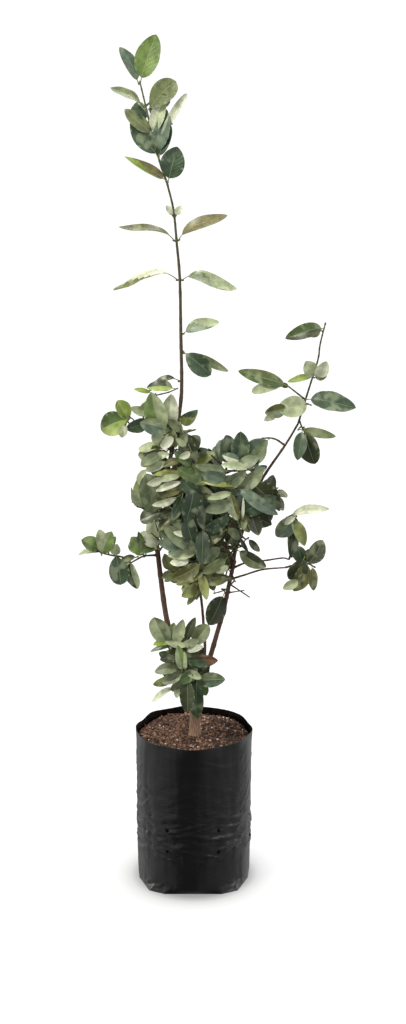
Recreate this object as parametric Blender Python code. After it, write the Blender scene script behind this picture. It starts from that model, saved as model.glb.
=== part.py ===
"""A young tree standing in a black film nursery bag, one named object for each piece.

Metres, +Z up, -Y to the front.  The origin is at the middle of the bag's flat underside.
Sizes in the tables are real ones in millimetres.  A heading is read in plan: 0 is to the
right, 90 to the back, 180 to the left and 270 to the front.
"""

import math
import random
from dataclasses import dataclass

import bmesh
import bpy
from mathutils import Matrix, Vector
from mathutils.bvhtree import BVHTree

MM = 0.001
GAP = 0.3 * MM  # between pieces that meet
UP = Vector((0.0, 0.0, 1.0))
FRONT = Vector((0.0, -1.0, 0.0))

# ------------------------------------------------------------------ driving dimensions

BAG_HEIGHT = 220 * MM
BAG_RIM_RADIUS = 81.5 * MM
BAG_FOOT_RADIUS = 77.5 * MM
FILM = 0.8 * MM
BAG_SIDES = 32
BAG_LEVELS = tuple(h * MM for h in (0, 3, 10, 30, 120, 220))  # heights of its rings
HOLE_COUNT = 7
HOLE_DIAMETER = 5 * MM
HOLE_HEIGHT = 64 * MM
HOLE_FIRST_HEADING = 244

SOIL_LEVEL = 205 * MM
MIX_EDGE = 200 * MM  # where the mix leaves the film
SOIL_SWELL = 2.2 * MM  # how far the top of the mix rises and dips
TRUNK_CLEARING = 24 * MM  # the mix is level this far round the trunk

TRUNK_X = 2 * MM
TRUNK_HEIGHT = 53 * MM
TRUNK_RADIUS = 8.0 * MM
TRUNK_FLARE = 3.4 * MM
FORK_SWELL = 1.5 * MM

LIMB_STEP = 34 * MM  # between the rings of a limb
STEM_STEP = 16 * MM
TWIG_STEP = 12 * MM

TWIG_SIDES = 3
SHOOT_FOOT = 1.3 * MM
SHOOT_TIP = 1.0 * MM
LEAF_THICKNESS = 1.0 * MM
PETIOLE_RADIUS = 0.75 * MM
ROOT_RADIUS = 0.45 * MM  # of a leaf inside its twig
CLEARANCE = 0.5 * MM  # kept between a leaf or twig and what it isn't joined to

LEAF_ARCH = 0.07  # how far a blade rises above the line from its root to its tip

# A leaf's cross sections: share of the length, then half width and fold of the margins as
# shares of the width.  Those with no width are the petiole.
FULL_LEAF = ((0.0, 0, 0), (0.14, 0, 0), (0.44, 0.50, 0.07), (0.78, 0.38, 0.05))
PLAIN_LEAF = ((0.0, 0, 0), (0.52, 0.50, 0.07))


# --------------------------------------------------------------------- tables of sizes


@dataclass(frozen=True)
class Limb:
    """A woody limb: middle points from foot to tip, radii at both ends, and what carries it."""

    name: str
    points: tuple
    foot: float
    tip: float
    carrier: str = ""


@dataclass(frozen=True)
class Leaf:
    """A leaf on a twig: its place from foot 0 to tip 1, where it points, and its size.

    face is how far the upper side looks from straight up (0) towards the front (90).
    """

    at: float
    heading: float
    rise: float
    length: float
    width: float
    face: float = 60


@dataclass(frozen=True)
class Twig:
    """A twig through middle points, with its leaves."""

    points: tuple
    leaves: tuple = ()
    foot: float = 1.3
    tip: float = 0.9


@dataclass(frozen=True)
class Mass:
    """A mass of leaves on one stem that meets a limb, in a space of its own.

    tiers is the number of pairs of side shoots that the seeded rule adds to the stem, and
    heart and reach are the middle and the radius of the space that they keep to.
    """

    name: str
    limb: str
    stem: Twig
    twigs: tuple = ()
    tiers: int = 0
    heart: tuple = ()
    reach: float = 0
    leaf: float = 36
    seed: int = 1


LIMBS = (
    Limb("leader", ((-4, -1, 258.3), (-14, -2, 303), (-24, -4, 328), (-37, -6, 384), (-47, -8, 466),
                    (-50, -8, 516), (-40, -6, 564), (-28, -4, 619), (-20, -2, 656), (-16, 0, 686),
                    (-15, 2, 712), (-16, 4, 779), (-17, 4, 845), (-21, 3, 895), (-25, 2, 936),
                    (-33, 0, 970)), 4.3, 1.5),
    Limb("middle_stem", ((2, 6, 258.3), (12, 9, 294), (16, 12, 330), (14, 14, 367), (11, 15, 402),
                         (5, 15, 445), (2, 14, 488)), 2.4, 1.7),
    Limb("right_stem", ((8, -1, 258.3), (19, -3, 309), (28, -5, 343), (42, -8, 397), (49, -9, 433),
                        (54, -10, 458), (57, -10, 481), (65, -9, 502), (77, -8, 539), (92, -7, 578),
                        (124, -8, 628), (140, -8, 656)), 4.1, 1.5),
    Limb("inner_bough", ((57, -10, 488), (46, -6, 505), (40, 2, 540), (40, 8, 572)), 2.0, 1.4, "right_stem"),
    Limb("upper_left_bough", ((-43, -6, 558), (-48, -13, 600), (-45, -18, 635), (-54, -20, 655)),
         2.2, 1.5, "leader"),
    Limb("left_bough", ((-48, -8, 472), (-65, -14, 474), (-74, -20, 472), (-84, -24, 467)),
         1.6, 1.2, "leader"),
    Limb("right_bough_upper", ((56, -10, 456), (73, -18, 466), (98, -22, 470), (121, -24, 474),
                               (129, -25, 472)), 1.5, 1.2, "right_stem"),
    Limb("right_bough_lower", ((51, -9, 438), (70, -20, 449), (94, -28, 459), (124, -32, 463)),
         1.6, 1.2, "right_stem"),
    Limb("short_twig_upper", ((50, -9, 432), (62, -22, 428), (77, -30, 420)), 1.3, 1.0, "right_stem"),
    Limb("short_twig_lower", ((46, -8, 420), (60, -12, 423), (70, -14, 425)), 1.2, 0.9, "right_stem"),
    Limb("back_left_bough", ((-47, -8, 470), (-52, 8, 492), (-54, 26, 510)), 1.9, 1.4, "leader"),
    Limb("back_right_bough", ((56, -10, 470), (62, 8, 490), (64, 26, 506)), 1.9, 1.4, "right_stem"),
)

LEADER_LEAVES = (
    # name, height on the leader, leaf
    ("leader_leaf_bud_left", 926, Leaf(0, 235, 50, 20, 8, 60)),
    ("leader_leaf_bud_right", 928, Leaf(0, 30, 50, 24, 8, 60)),
    ("leader_leaf_upper_left", 894, Leaf(0, 188, 15, 74, 26, 18)),
    ("leader_leaf_upper_right", 896, Leaf(0, 355, 29, 74, 28, 28)),
    ("leader_leaf_middle_left", 845, Leaf(0, 190, -3, 88, 28, 12)),
    ("leader_leaf_middle_right", 847, Leaf(0, 348, -1, 74, 28, 35)),
    ("leader_leaf_lower_right", 770, Leaf(0, 342, 27, 55, 25, 50)),
    ("leader_leaf_dark", 754, Leaf(0, 330, -36, 50, 34, 65)),
    ("leader_leaf_grey", 751, Leaf(0, 15, -23, 70, 20, 30)),
    ("leader_leaf_arched", 717, Leaf(0, 204, -8, 52, 20, 40)),
    ("leader_leaf_pointed", 645, Leaf(0, 330, 38, 37, 17, 45)),
)

MASSES = (
    Mass("leader_tip_tuft", "leader",
         Twig(((-33, 0, 970), (-42, -1, 996), (-52, -3, 1034), (-58, -4, 1060), (-66, -6, 1094)), (
             Leaf(0.05, 318, 56, 48, 30, 75), Leaf(0.08, 190, 40, 60, 17, 50),
             Leaf(0.24, 205, 58, 64, 32, 75), Leaf(0.22, 20, 66, 54, 14, 70),
             Leaf(0.30, 171, 22, 42, 11, 30), Leaf(0.50, 325, 66, 46, 24, 80),
             Leaf(0.50, 20, 52, 68, 15, 60), Leaf(0.55, 154, 42, 50, 24, 60),
             Leaf(0.76, 338, 46, 58, 30, 70), Leaf(0.72, 187, 36, 52, 21, 50),
             Leaf(0.78, 35, 44, 62, 18, 50), Leaf(0.97, 339, 69, 68, 33, 75),
             Leaf(0.95, 150, 60, 60, 22, 70), Leaf(0.88, 70, 40, 46, 20, 50)), 1.6, 1.1)),
    Mass("right_bough_shoot", "right_stem",
         Twig(((140, -8, 656), (149, -9, 688), (158, -10, 719), (165, -10, 744), (167, -10, 762),
               (173, -10, 788)), (
             Leaf(0.97, 193, 0, 56, 24, 62), Leaf(0.92, 235, -20, 34, 18, 65),
             Leaf(0.50, 289, 66, 34, 29, 85), Leaf(0.47, 161, -4, 36, 15, 40),
             Leaf(0.50, 34, 2, 26, 13, 30), Leaf(0.26, 352, -4, 69, 29, 70),
             Leaf(0.12, 195, 6, 50, 29, 70)), 1.5, 1.0),
         (Twig(((149, -9, 688), (136, -14, 699), (124, -18, 709)), (
             Leaf(0.95, 187, 18, 68, 22, 62), Leaf(0.80, 164, -2, 46, 18, 50)), 1.1, 1.0),
          Twig(((142, -8, 661), (144, -14, 653), (147, -20, 648)), (
              Leaf(0.85, 218, -70, 38, 20, 85), Leaf(0.90, 315, -62, 46, 30, 85),
              Leaf(0.90, 8, -8, 44, 18, 50)), 1.1, 1.0))),
    Mass("right_bough_side_leaf", "right_stem",
         Twig(((122, -8, 625), (108, -12, 636), (94, -14, 637)), (
             Leaf(0.92, 205, -52, 38, 28, 85),), 1.1, 1.0)),
    Mass("right_spray_upper", "right_bough_upper",
         Twig(((129, -25, 472), (134, -26, 489), (134, -26, 514), (135, -26, 535)), (
             Leaf(0.95, 350, 18, 50, 17, 50), Leaf(0.92, 207, -26, 36, 26, 65),
             Leaf(0.85, 20, -50, 44, 22, 70), Leaf(0.12, 274, 72, 32, 18, 75),
             Leaf(0.20, 42, 58, 34, 23, 65), Leaf(0.60, 90, 20, 34, 18, 20)), 1.4, 1.0)),
    Mass("right_spray_lower", "right_bough_lower",
         Twig(((124, -32, 463), (141, -33, 468), (155, -34, 469), (162, -34, 465)), (
             Leaf(0.80, 15, 52, 39, 26, 65), Leaf(0.50, 215, -42, 32, 27, 75),
             Leaf(0.60, 190, -72, 44, 24, 80), Leaf(0.93, 313, -74, 36, 17, 78),
             Leaf(0.65, 90, 15, 34, 18, 20)), 1.4, 1.0)),
    Mass("left_spray_inner", "leader",
         Twig(((-48, -10, 486), (-56, -16, 485), (-63, -22, 485)), (
             Leaf(0.95, 200, 55, 36, 25, 72), Leaf(0.75, 240, 62, 34, 24, 78),
             Leaf(0.80, 120, 30, 30, 20, 20)), 1.3, 1.0)),
    Mass("left_spray_outer", "left_bough",
         Twig(((-84, -24, 467), (-96, -26, 476), (-113, -27, 479), (-129, -28, 485)), (
             Leaf(0.95, 159, 34, 30, 19, 65), Leaf(0.93, 205, 5, 30, 14, 30),
             Leaf(0.88, 314, 74, 38, 26, 78), Leaf(0.55, 51, 52, 22, 15, 60),
             Leaf(0.35, 228, -62, 42, 29, 82), Leaf(0.08, 334, -67, 36, 19, 78),
             Leaf(0.60, 100, 15, 32, 18, 15)), 1.4, 1.0)),
    Mass("lone_dark_leaf", "right_stem",
         Twig(((46, -10, 424), (44, -15, 428), (40, -18, 428)), (
             Leaf(0.85, 199, -56, 48, 27, 82),), 1.1, 1.0)),
    Mass("fork_leaves", "right_stem",
         Twig(((60, -11, 490), (66, -20, 489), (70, -24, 488)), (
             Leaf(0.60, 340, -33, 44, 21, 60), Leaf(0.90, 15, -30, 28, 12, 55)), 1.1, 1.0)),
    Mass("base_tuft_upper", "leader",
         Twig(((-13, -4, 301), (-19, -16, 318), (-29, -21, 336), (-36, -23, 354)), (
             Leaf(0.97, 205, 64, 42, 26, 80), Leaf(0.93, 60, 64, 34, 22, 70),
             Leaf(0.80, 175, -4, 34, 16, 50), Leaf(0.60, 205, 20, 34, 20, 65),
             Leaf(0.45, 200, -20, 34, 19, 60), Leaf(0.75, 335, 15, 30, 20, 60),
             Leaf(0.50, 285, 20, 32, 21, 65),
             Leaf(0.90, 290, 45, 32, 20, 75), Leaf(0.42, 320, -5, 30, 20, 60)), 1.5, 1.0),
         (Twig(((-22, -17, 324), (-14, -21, 340), (-7, -21, 350)), (
             Leaf(0.95, 42, 68, 42, 16, 72), Leaf(0.90, 5, 48, 36, 24, 70),
             Leaf(0.60, 300, 30, 30, 20, 65), Leaf(0.85, 330, 8, 36, 22, 60),
             Leaf(0.45, 340, -12, 34, 20, 60)), 1.1, 1.0),)),
    Mass("base_tuft_lower", "trunk",
         Twig(((0, -8, 240), (-5, -18, 262), (-10, -23, 284), (-13, -25, 304)), (
             Leaf(0.97, 6, 14, 42, 22, 60), Leaf(0.95, 225, 25, 34, 20, 65),
             Leaf(0.70, 173, -14, 44, 20, 60), Leaf(0.55, 283, -62, 38, 28, 85),
             Leaf(0.50, 197, -27, 46, 11, 50), Leaf(0.65, 315, 15, 34, 22, 65),
             Leaf(0.85, 290, -20, 36, 23, 75), Leaf(0.80, 200, 0, 36, 20, 60)), 1.6, 1.0),
         (Twig(((-7, -20, 270), (4, -22, 280), (12, -23, 291)), (
             Leaf(0.95, 352, 18, 36, 22, 65), Leaf(0.80, 30, -45, 26, 12, 60),
             Leaf(0.85, 310, 45, 30, 20, 75)), 1.1, 1.0),
          Twig(((-6, -19, 266), (4, -25, 272), (8, -27, 274)), (
              Leaf(0.85, 251, -72, 38, 20, 85),), 1.1, 1.0))),
    Mass("upper_left_spray", "upper_left_bough",
         Twig(((-54, -20, 655), (-60, -21, 661), (-72, -23, 661), (-87, -22, 654)), (
             Leaf(0.96, 192, 48, 46, 36, 80), Leaf(0.97, 217, -66, 26, 15, 82),
             Leaf(0.70, 230, 15, 38, 32, 75), Leaf(0.60, 200, -30, 30, 19, 65),
             Leaf(0.50, 60, 35, 34, 20, 30)), 1.5, 1.0),
         (Twig(((-58, -21, 659), (-50, -24, 678), (-49, -25, 697)), (
             Leaf(0.93, 275, 58, 32, 26, 78), Leaf(0.95, 170, 14, 26, 12, 50),
             Leaf(0.55, 350, 25, 36, 26, 70), Leaf(0.55, 200, 25, 38, 26, 70),
             Leaf(0.80, 60, 30, 30, 20, 30), Leaf(0.30, 295, 45, 42, 34, 82)), 1.2, 1.0),)),
    Mass("crown_neck", "leader",
         Twig(((-30, -6, 606), (-30, -20, 622), (-30, -27, 640)), (
             Leaf(0.90, 215, 20, 36, 22, 70),), 1.6, 1.1),
         (Twig(((-30, -22, 628), (-22, -22, 640), (-16, -20, 650)), (
             Leaf(0.92, 329, -58, 46, 24, 82),), 1.1, 1.0),), 4, (-32, -18, 624), 46, 34, 3),
    Mass("crown_left", "leader",
         Twig(((-51, -10, 520), (-56, -24, 538), (-56, -36, 562)), (), 1.8, 1.1),
         (Twig(((-56, -26, 548), (-50, -34, 566), (-42, -38, 582)), (
             Leaf(0.95, 200, -8, 39, 32, 78), Leaf(0.90, 190, 20, 28, 16, 60)), 1.1, 1.0),
          Twig(((-55, -22, 534), (-48, -28, 534), (-42, -30, 533)), (
              Leaf(0.90, 198, -10, 38, 22, 70),), 1.1, 1.0)), 3, (-44, -28, 560), 44, 40, 5),
    Mass("crown_mid_left", "leader",
         Twig(((-49, -10, 478), (-38, -24, 494), (-26, -34, 512)), (), 1.7, 1.1),
         (), 5, (-22, -30, 512), 46, 40, 61),
    Mass("crown_centre", "middle_stem",
         Twig(((2, 14, 488), (4, -2, 508), (8, -22, 530), (10, -36, 552)), (), 1.7, 1.1),
         (), 6, (8, -34, 552), 48, 40, 7),
    Mass("crown_top", "leader",
         Twig(((-38, -9, 568), (-22, -20, 584), (-4, -24, 600)), (), 1.7, 1.1),
         (), 6, (-4, -22, 592), 48, 38, 9),
    Mass("crown_mid_right", "right_stem",
         Twig(((56, -12, 468), (46, -26, 486), (38, -34, 502)), (), 1.7, 1.1),
         (), 5, (38, -32, 506), 42, 38, 10),
    Mass("crown_right", "right_stem",
         Twig(((65, -10, 504), (60, -24, 522), (58, -38, 546)), (), 1.7, 1.1),
         (), 5, (58, -36, 560), 48, 42, 11),
    Mass("crown_right_outer", "right_stem",
         Twig(((84, -8, 556), (92, -12, 556), (97, -14, 552)), (
             Leaf(0.90, 348, 0, 32, 28, 78), Leaf(0.80, 335, -40, 48, 22, 72),
             Leaf(0.50, 325, -55, 42, 30, 80)), 1.5, 1.1),
         (), 3, (94, -10, 550), 38, 36, 13),
    Mass("crown_upper", "inner_bough",
         Twig(((40, 8, 572), (44, 2, 590), (48, -2, 606)), (
             Leaf(0.95, 346, 42, 36, 24, 70), Leaf(0.90, 231, 50, 26, 16, 70)), 1.5, 1.1),
         (Twig(((42, 3, 594), (52, -2, 602), (60, -4, 611)), (
             Leaf(0.95, 267, 80, 38, 22, 80),), 1.1, 1.0),), 3, (50, -4, 600), 40, 36, 17),
    Mass("crown_low", "middle_stem",
         Twig(((8, 13, 424), (2, 0, 440), (-4, -14, 456), (-6, -24, 470)), (), 1.7, 1.1),
         (Twig(((0, -4, 444), (4, -8, 432), (6, -10, 424)), (
             Leaf(0.90, 200, -40, 26, 12, 70),), 1.1, 1.0),), 4, (-3, -18, 460), 44, 38, 19),
    Mass("crown_low_right", "middle_stem",
         Twig(((6, 14, 440), (16, 6, 456), (26, -2, 470)), (), 1.5, 1.1),
         (), 3, (28, 0, 466), 36, 34, 23),
    Mass("crown_back", "middle_stem",
         Twig(((3, 16, 470), (2, 32, 492), (2, 46, 514), (0, 52, 532)), (), 1.7, 1.1),
         (), 3, (0, 48, 532), 48, 42, 29),
    Mass("crown_back_left", "back_left_bough",
         Twig(((-54, 26, 510), (-54, 38, 524), (-54, 46, 542)), (), 1.6, 1.1),
         (), 3, (-50, 38, 540), 42, 40, 31),
    Mass("crown_back_right", "back_right_bough",
         Twig(((64, 26, 506), (66, 38, 520), (68, 48, 536)), (), 1.6, 1.1),
         (), 3, (64, 40, 536), 42, 40, 37),
    Mass("crown_back_low", "middle_stem",
         Twig(((13, 16, 384), (10, 30, 408), (6, 42, 432)), (), 1.6, 1.1),
         (), 2, (8, 38, 440), 40, 40, 41),
    Mass("crown_back_top", "inner_bough",
         Twig(((40, 10, 545), (28, 24, 566), (12, 32, 584)), (), 1.5, 1.1),
         (), 3, (2, 30, 588), 42, 38, 43),
)

# ------------------------------------------------------------------------- materials

BARK = ("bark", (0.16, 0.085, 0.055), 0.75)
GREEN_BARK = ("green_bark", (0.10, 0.085, 0.035), 0.6)
LEAF_GREEN = ("leaf_green", (0.10, 0.20, 0.07), 0.35)
FILM_BLACK = ("film_black", (0.008, 0.008, 0.009), 0.25)
MIX_BROWN = ("mix_brown", (0.07, 0.035, 0.022), 0.95)


def material(finish):
    """Return the Principled material of a finish (name, base colour, roughness)."""
    name, colour, roughness = finish
    found = bpy.data.materials.get(name)
    if found:
        return found
    made = bpy.data.materials.new(name)
    made.use_nodes = True
    shader = made.node_tree.nodes["Principled BSDF"]
    shader.inputs["Base Color"].default_value = (*colour, 1.0)
    shader.inputs["Roughness"].default_value = roughness
    shader.inputs["Metallic"].default_value = 0.0
    return made


# -------------------------------------------------------------------- paths and solids


def polar(heading, rise):
    """Return the unit vector at a heading and a rise in degrees."""
    h, r = math.radians(heading), math.radians(rise)
    return Vector((math.cos(h) * math.cos(r), math.sin(h) * math.cos(r), math.sin(r)))


def square_to(vector, axis):
    """Return the unit part of a vector that is square to an axis."""
    return (vector - axis * vector.dot(axis)).normalized()


def smooth_path(points, step):
    """Return a smooth curve through points, read about every step."""
    ends = [points[0] * 2 - points[1], *points, points[-1] * 2 - points[-2]]
    path = [points[0].copy()]
    for a, b, c, d in zip(ends, ends[1:], ends[2:], ends[3:]):
        count = max(1, round((c - b).length / step))
        for k in range(1, count + 1):
            t = k / count
            path.append(0.5 * (2 * b + (c - a) * t + (2 * a - 5 * b + 4 * c - d) * t**2
                               + (3 * b - a - 3 * c + d) * t**3))
    return path


def lengths_along(path):
    """Return how far along a path each of its points lies, from 0 to 1."""
    run = [0.0]
    for a, b in zip(path, path[1:]):
        run.append(run[-1] + (b - a).length)
    return [r / run[-1] for r in run]


def point_along(path, at):
    """Return the point and the direction of a path at a share of its length."""
    run = lengths_along(path)
    for a, b, ra, rb in zip(path, path[1:], run, run[1:]):
        if at <= rb or b is path[-1]:
            share = min(1.0, (at - ra) / (rb - ra))
            return a.lerp(b, share), (b - a).normalized()
    raise ValueError("a path needs two points")


def tube(path, foot, tip, sides, level_foot=False):
    """Return the vertices and faces of a closed tapering tube along a path."""
    run = lengths_along(path)
    verts, faces = [], []
    across = None
    for k, (point, at) in enumerate(zip(path, run)):
        ahead = path[min(k + 1, len(path) - 1)] - path[max(k - 1, 0)]
        axis = UP if level_foot and k == 0 else ahead.normalized()
        across = square_to(across or Vector((0.31, 0.95, 0.11)), axis)
        other = axis.cross(across)
        radius = foot + (tip - foot) * at
        for s in range(sides):
            turn = math.tau * s / sides
            verts.append(point + radius * (math.cos(turn) * across + math.sin(turn) * other))
    for k in range(len(path) - 1):
        for s in range(sides):
            a, b = k * sides + s, k * sides + (s + 1) % sides
            faces.append((a, b, b + sides, a + sides))
    faces.append(tuple(reversed(range(sides))))
    faces.append(tuple(range((len(path) - 1) * sides, len(path) * sides)))
    return verts, faces


def leaf_solid(root, along, upper, length, width, stations=FULL_LEAF, swell=0.0):
    """Return a thin keeled leaf: a petiole, a blade widest at its middle, and a pointed tip.

    swell thickens it on every side, for telling what it would touch.
    """
    side = upper.cross(along).normalized()
    verts, faces = [], []
    for share, wide, fold in stations:
        round_part = PETIOLE_RADIUS if share else ROOT_RADIUS
        half = wide * width if wide else round_part
        margin = fold * width if wide else 0.4 * round_part
        depth = 0.5 * LEAF_THICKNESS if wide else round_part
        middle = root + along * (share * length) + upper * (4 * LEAF_ARCH * length * share * (1 - share))
        half, margin, depth = half + swell, margin + swell, depth + swell
        verts += [middle + side * half + upper * margin, middle - side * half + upper * margin,
                  middle - upper * depth]
    verts.append(root + along * (length + swell))
    for k in range(len(stations) - 1):
        for s in range(3):
            a, b = 3 * k + s, 3 * k + (s + 1) % 3
            faces.append((a, b, b + 3, a + 3))
    last = 3 * (len(stations) - 1)
    faces += [(last + s, last + (s + 1) % 3, len(verts) - 1) for s in range(3)]
    faces.append((2, 1, 0))
    return verts, faces


def outer_part(root, along, upper, length, width):
    """Return a leaf's solid from a little way out, where it has left its twig."""
    return leaf_solid(root + along * (0.2 * length), along, upper, 0.8 * length, 0.9 * width, PLAIN_LEAF)


# ------------------------------------------------------------------------ plant growth


class Space:
    """What stands where: the solids already placed, and the cells of the seeded masses."""

    def __init__(self, masses):
        self.placed = []
        self.cells = [(m.name, Vector(m.heart) * MM, m.reach * MM) for m in masses if m.tiers]

    def put(self, owner, solid):
        """Remember a solid of an owner."""
        verts, faces = solid
        low = Vector(min(v[i] for v in verts) for i in range(3))
        high = Vector(max(v[i] for v in verts) for i in range(3))
        self.placed.append((owner, low, high, BVHTree.FromPolygons(verts, faces)))

    def free(self, owner, solid, own=False):
        """Tell whether a solid touches nothing of its owner's, or nothing of all the others'."""
        verts, faces = solid
        low = Vector(min(v[i] for v in verts) for i in range(3))
        high = Vector(max(v[i] for v in verts) for i in range(3))
        tree = BVHTree.FromPolygons(verts, faces)
        for name, other_low, other_high, other in self.placed:
            if (name == owner) != own:
                continue
            if all(low[i] <= other_high[i] and other_low[i] <= high[i] for i in range(3)):
                if tree.overlap(other):
                    return False
        return True

    def inside(self, name, points):
        """Tell whether all points lie in a mass's own cell, clear of its neighbours' cells."""
        heart, reach = next((h, r) for n, h, r in self.cells if n == name)
        for point in points:
            own = (point - heart).length_squared - reach**2
            if own > 0.0:
                return False
            for other, centre, radius in self.cells:
                if other == name:
                    continue
                beyond = (point - centre).length_squared - radius**2 - own
                if beyond < 2 * CLEARANCE * (centre - heart).length:
                    return False
        return True


def placed_leaf(leaf, path):
    """Return the root, direction, upper side, length and width of a leaf from a table."""
    root, _ = point_along(path, leaf.at)
    along = polar(leaf.heading, leaf.rise)
    face = math.radians(leaf.face)
    upper = square_to(Vector((0.0, -math.sin(face), math.cos(face))), along)
    return root, along, upper, leaf.length * MM, leaf.width * MM


def seeded_shoots(mass, stem, rng):
    """Yield each side shoot of a seeded mass, as a few paths that it may take.

    Shoots stand in pairs on the stem, each pair turned a quarter turn from the last.
    """
    for tier in range(mass.tiers + 1):
        foot, axis = point_along(stem, 0.42 + 0.55 * tier / mass.tiers)
        across = square_to(Vector((1.0, 0.2, 0.1)), axis)
        for side in (0, math.pi):
            tries = []
            for shrink in (1.0, 0.8, 0.6):
                turn = math.pi / 2 * tier + side + rng.uniform(-0.6, 0.6)
                lateral = Matrix.Rotation(turn, 3, axis) @ across
                course = (axis * 0.35 + lateral + UP * 0.15).normalized()
                length = mass.reach * MM * rng.uniform(0.50, 0.70) * shrink
                bent = (course + UP * 0.12).normalized()
                tries.append(smooth_path([foot, foot + course * length * 0.5,
                                          foot + bent * length], length / 2))
            yield tries


def seeded_leaves(mass, path, rng):
    """Yield the leaves of a side shoot, each as a few ways in which it may grow.

    They stand in pairs, by turns level and upright, and the outer pair closes the shoot.
    """
    heart = Vector(mass.heart) * MM
    for pair, place in enumerate((0.40, 0.68, 0.95)):
        spot, ahead = point_along(path, place)
        level = ahead.cross(UP).normalized() if pair % 2 else square_to(UP, ahead)
        outward = (spot - heart).normalized()
        for way in (1, -1):
            tries = []
            for shrink in (1.0, 0.95, 0.9, 0.85, 0.8, 0.75):
                along = (ahead * rng.uniform(0.5, 1.0) + level * way * rng.uniform(0.6, 1.1)
                         + outward * rng.uniform(0.0, 0.5) - UP * rng.uniform(0.0, 0.4)).normalized()
                look = UP * 0.6 + outward * rng.uniform(0.4, 1.0) + FRONT * rng.uniform(-0.3, 0.7)
                size = mass.leaf * MM * rng.uniform(0.85, 1.15) * shrink
                tries.append((spot, along, square_to(look, along), size, size * rng.uniform(0.54, 0.66)))
            yield tries


def grow(mass, stem, space):
    """Return the twigs (path, foot and tip radius) and leaves of a mass that keep to its space."""
    twigs, leaves = [], []

    def add_twig(path, foot, tip):
        twigs.append((path, foot, tip))
        space.put(mass.name, tube(path, foot, tip, TWIG_SIDES))

    def add_listed(entries, path):
        for entry in entries:
            leaf = placed_leaf(entry, path)
            if space.free(mass.name, leaf_solid(*leaf, FULL_LEAF, CLEARANCE)):
                leaves.append((*leaf, FULL_LEAF))
                space.put(mass.name, leaf_solid(*leaf))
            else:
                print("no room in", mass.name, "for", entry)

    def fits(leaf):
        test = leaf_solid(*leaf, PLAIN_LEAF, CLEARANCE)
        return (space.inside(mass.name, test[0][3:]) and space.free(mass.name, test)
                and space.free(mass.name, outer_part(*leaf), own=True))

    def has_room(path):
        test = tube(path, SHOOT_FOOT + CLEARANCE, SHOOT_TIP + CLEARANCE, TWIG_SIDES)
        return space.inside(mass.name, path) and space.free(mass.name, test)

    space.put(mass.name, tube(stem, mass.stem.foot * MM, mass.stem.tip * MM, TWIG_SIDES))
    add_listed(mass.stem.leaves, stem)
    for twig in mass.twigs:
        points = [Vector(p) * MM for p in twig.points]
        points[0] = min(stem[1:], key=lambda p: (p - points[0]).length)
        path = smooth_path(points, TWIG_STEP)
        add_twig(path, twig.foot * MM, twig.tip * MM)
        add_listed(twig.leaves, path)
    if not mass.tiers:
        return twigs, leaves
    rng = random.Random(mass.seed)
    for paths in seeded_shoots(mass, stem, rng):
        path = next((p for p in paths if has_room(p)), None)
        if not path:
            continue
        grown = 0
        for tries in seeded_leaves(mass, path, rng):
            leaf = next((t for t in tries if fits(t)), None)
            if leaf:
                leaves.append((*leaf, PLAIN_LEAF))
                space.put(mass.name, leaf_solid(*leaf, PLAIN_LEAF))
                grown += 1
        if grown:
            add_twig(path, SHOOT_FOOT, SHOOT_TIP)
    return twigs, leaves


def nearest_on_limb(point, carrier):
    """Return the point of a limb's middle line that lies nearest to a point."""
    spots = []
    for (a, _), (b, _) in zip(carrier, carrier[1:]):
        step = b - a
        share = max(0.0, min(1.0, (point - a).dot(step) / step.length_squared))
        spots.append(a + step * share)
    return min(spots, key=lambda spot: (spot - point).length)


def clear_start(points, radius, carrier):
    """Return a path's points with the first one set just clear of the limb that carries it.

    The carrier is a list of the points and radii of its own path.
    """
    start = nearest_on_limb(points[0], carrier)
    ahead = (points[1] - start).normalized()
    across = square_to(Vector((0.31, 0.95, 0.11)), ahead)
    other = ahead.cross(across)
    rim = [radius * (math.cos(t) * across + math.sin(t) * other)
           for t in (math.tau * k / 12 for k in range(12))]
    travel = 0.0
    while True:
        centre = start + ahead * travel
        nearest = min(distance_to_limb(centre + r, carrier) for r in rim)
        if nearest >= GAP:
            return [centre, *points[1:]]
        travel += 0.1 * MM


def distance_to_limb(point, carrier):
    """Return the distance from a point to the surface of a limb."""
    best = math.inf
    for (a, ra), (b, rb) in zip(carrier, carrier[1:]):
        step = b - a
        share = max(0.0, min(1.0, (point - a).dot(step) / step.length_squared))
        best = min(best, (point - a - step * share).length - (ra + (rb - ra) * share))
    return best


# ---------------------------------------------------------------------------- objects


def to_object(name, solid, finish, parent, place=None, smooth=False):
    """Make an object from vertices and faces, with its own origin and material."""
    verts, faces = solid
    place = place or Vector()
    mesh = bpy.data.meshes.new(name)
    mesh.from_pydata([v - place for v in verts], [], faces)
    mesh.materials.append(material(finish))
    if smooth:
        mesh.shade_smooth()
        mesh.set_sharp_from_angle(angle=math.radians(40))
    made = bpy.data.objects.new(name, mesh)
    made.location = place
    made.parent = parent
    bpy.context.scene.collection.objects.link(made)
    return made


def is_closed(mesh):
    """Tell whether every edge of a mesh joins two faces."""
    bm = bmesh.new()
    bm.from_mesh(mesh)
    closed = all(edge.is_manifold for edge in bm.edges)
    bm.free()
    return closed


def join_collection(main, operands):
    """Unite an object with a collection of solids, by the second solver where the first fails."""
    join = main.modifiers.new("join", "BOOLEAN")
    join.operation = "UNION"
    join.operand_type = "COLLECTION"
    join.collection = operands
    for solver in ("EXACT", "MANIFOLD"):
        join.solver = solver
        bpy.context.view_layer.update()
        graph = bpy.context.evaluated_depsgraph_get()
        mesh = bpy.data.meshes.new_from_object(main.evaluated_get(graph))
        if is_closed(mesh):
            break
    main.modifiers.clear()
    main.data = mesh


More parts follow.
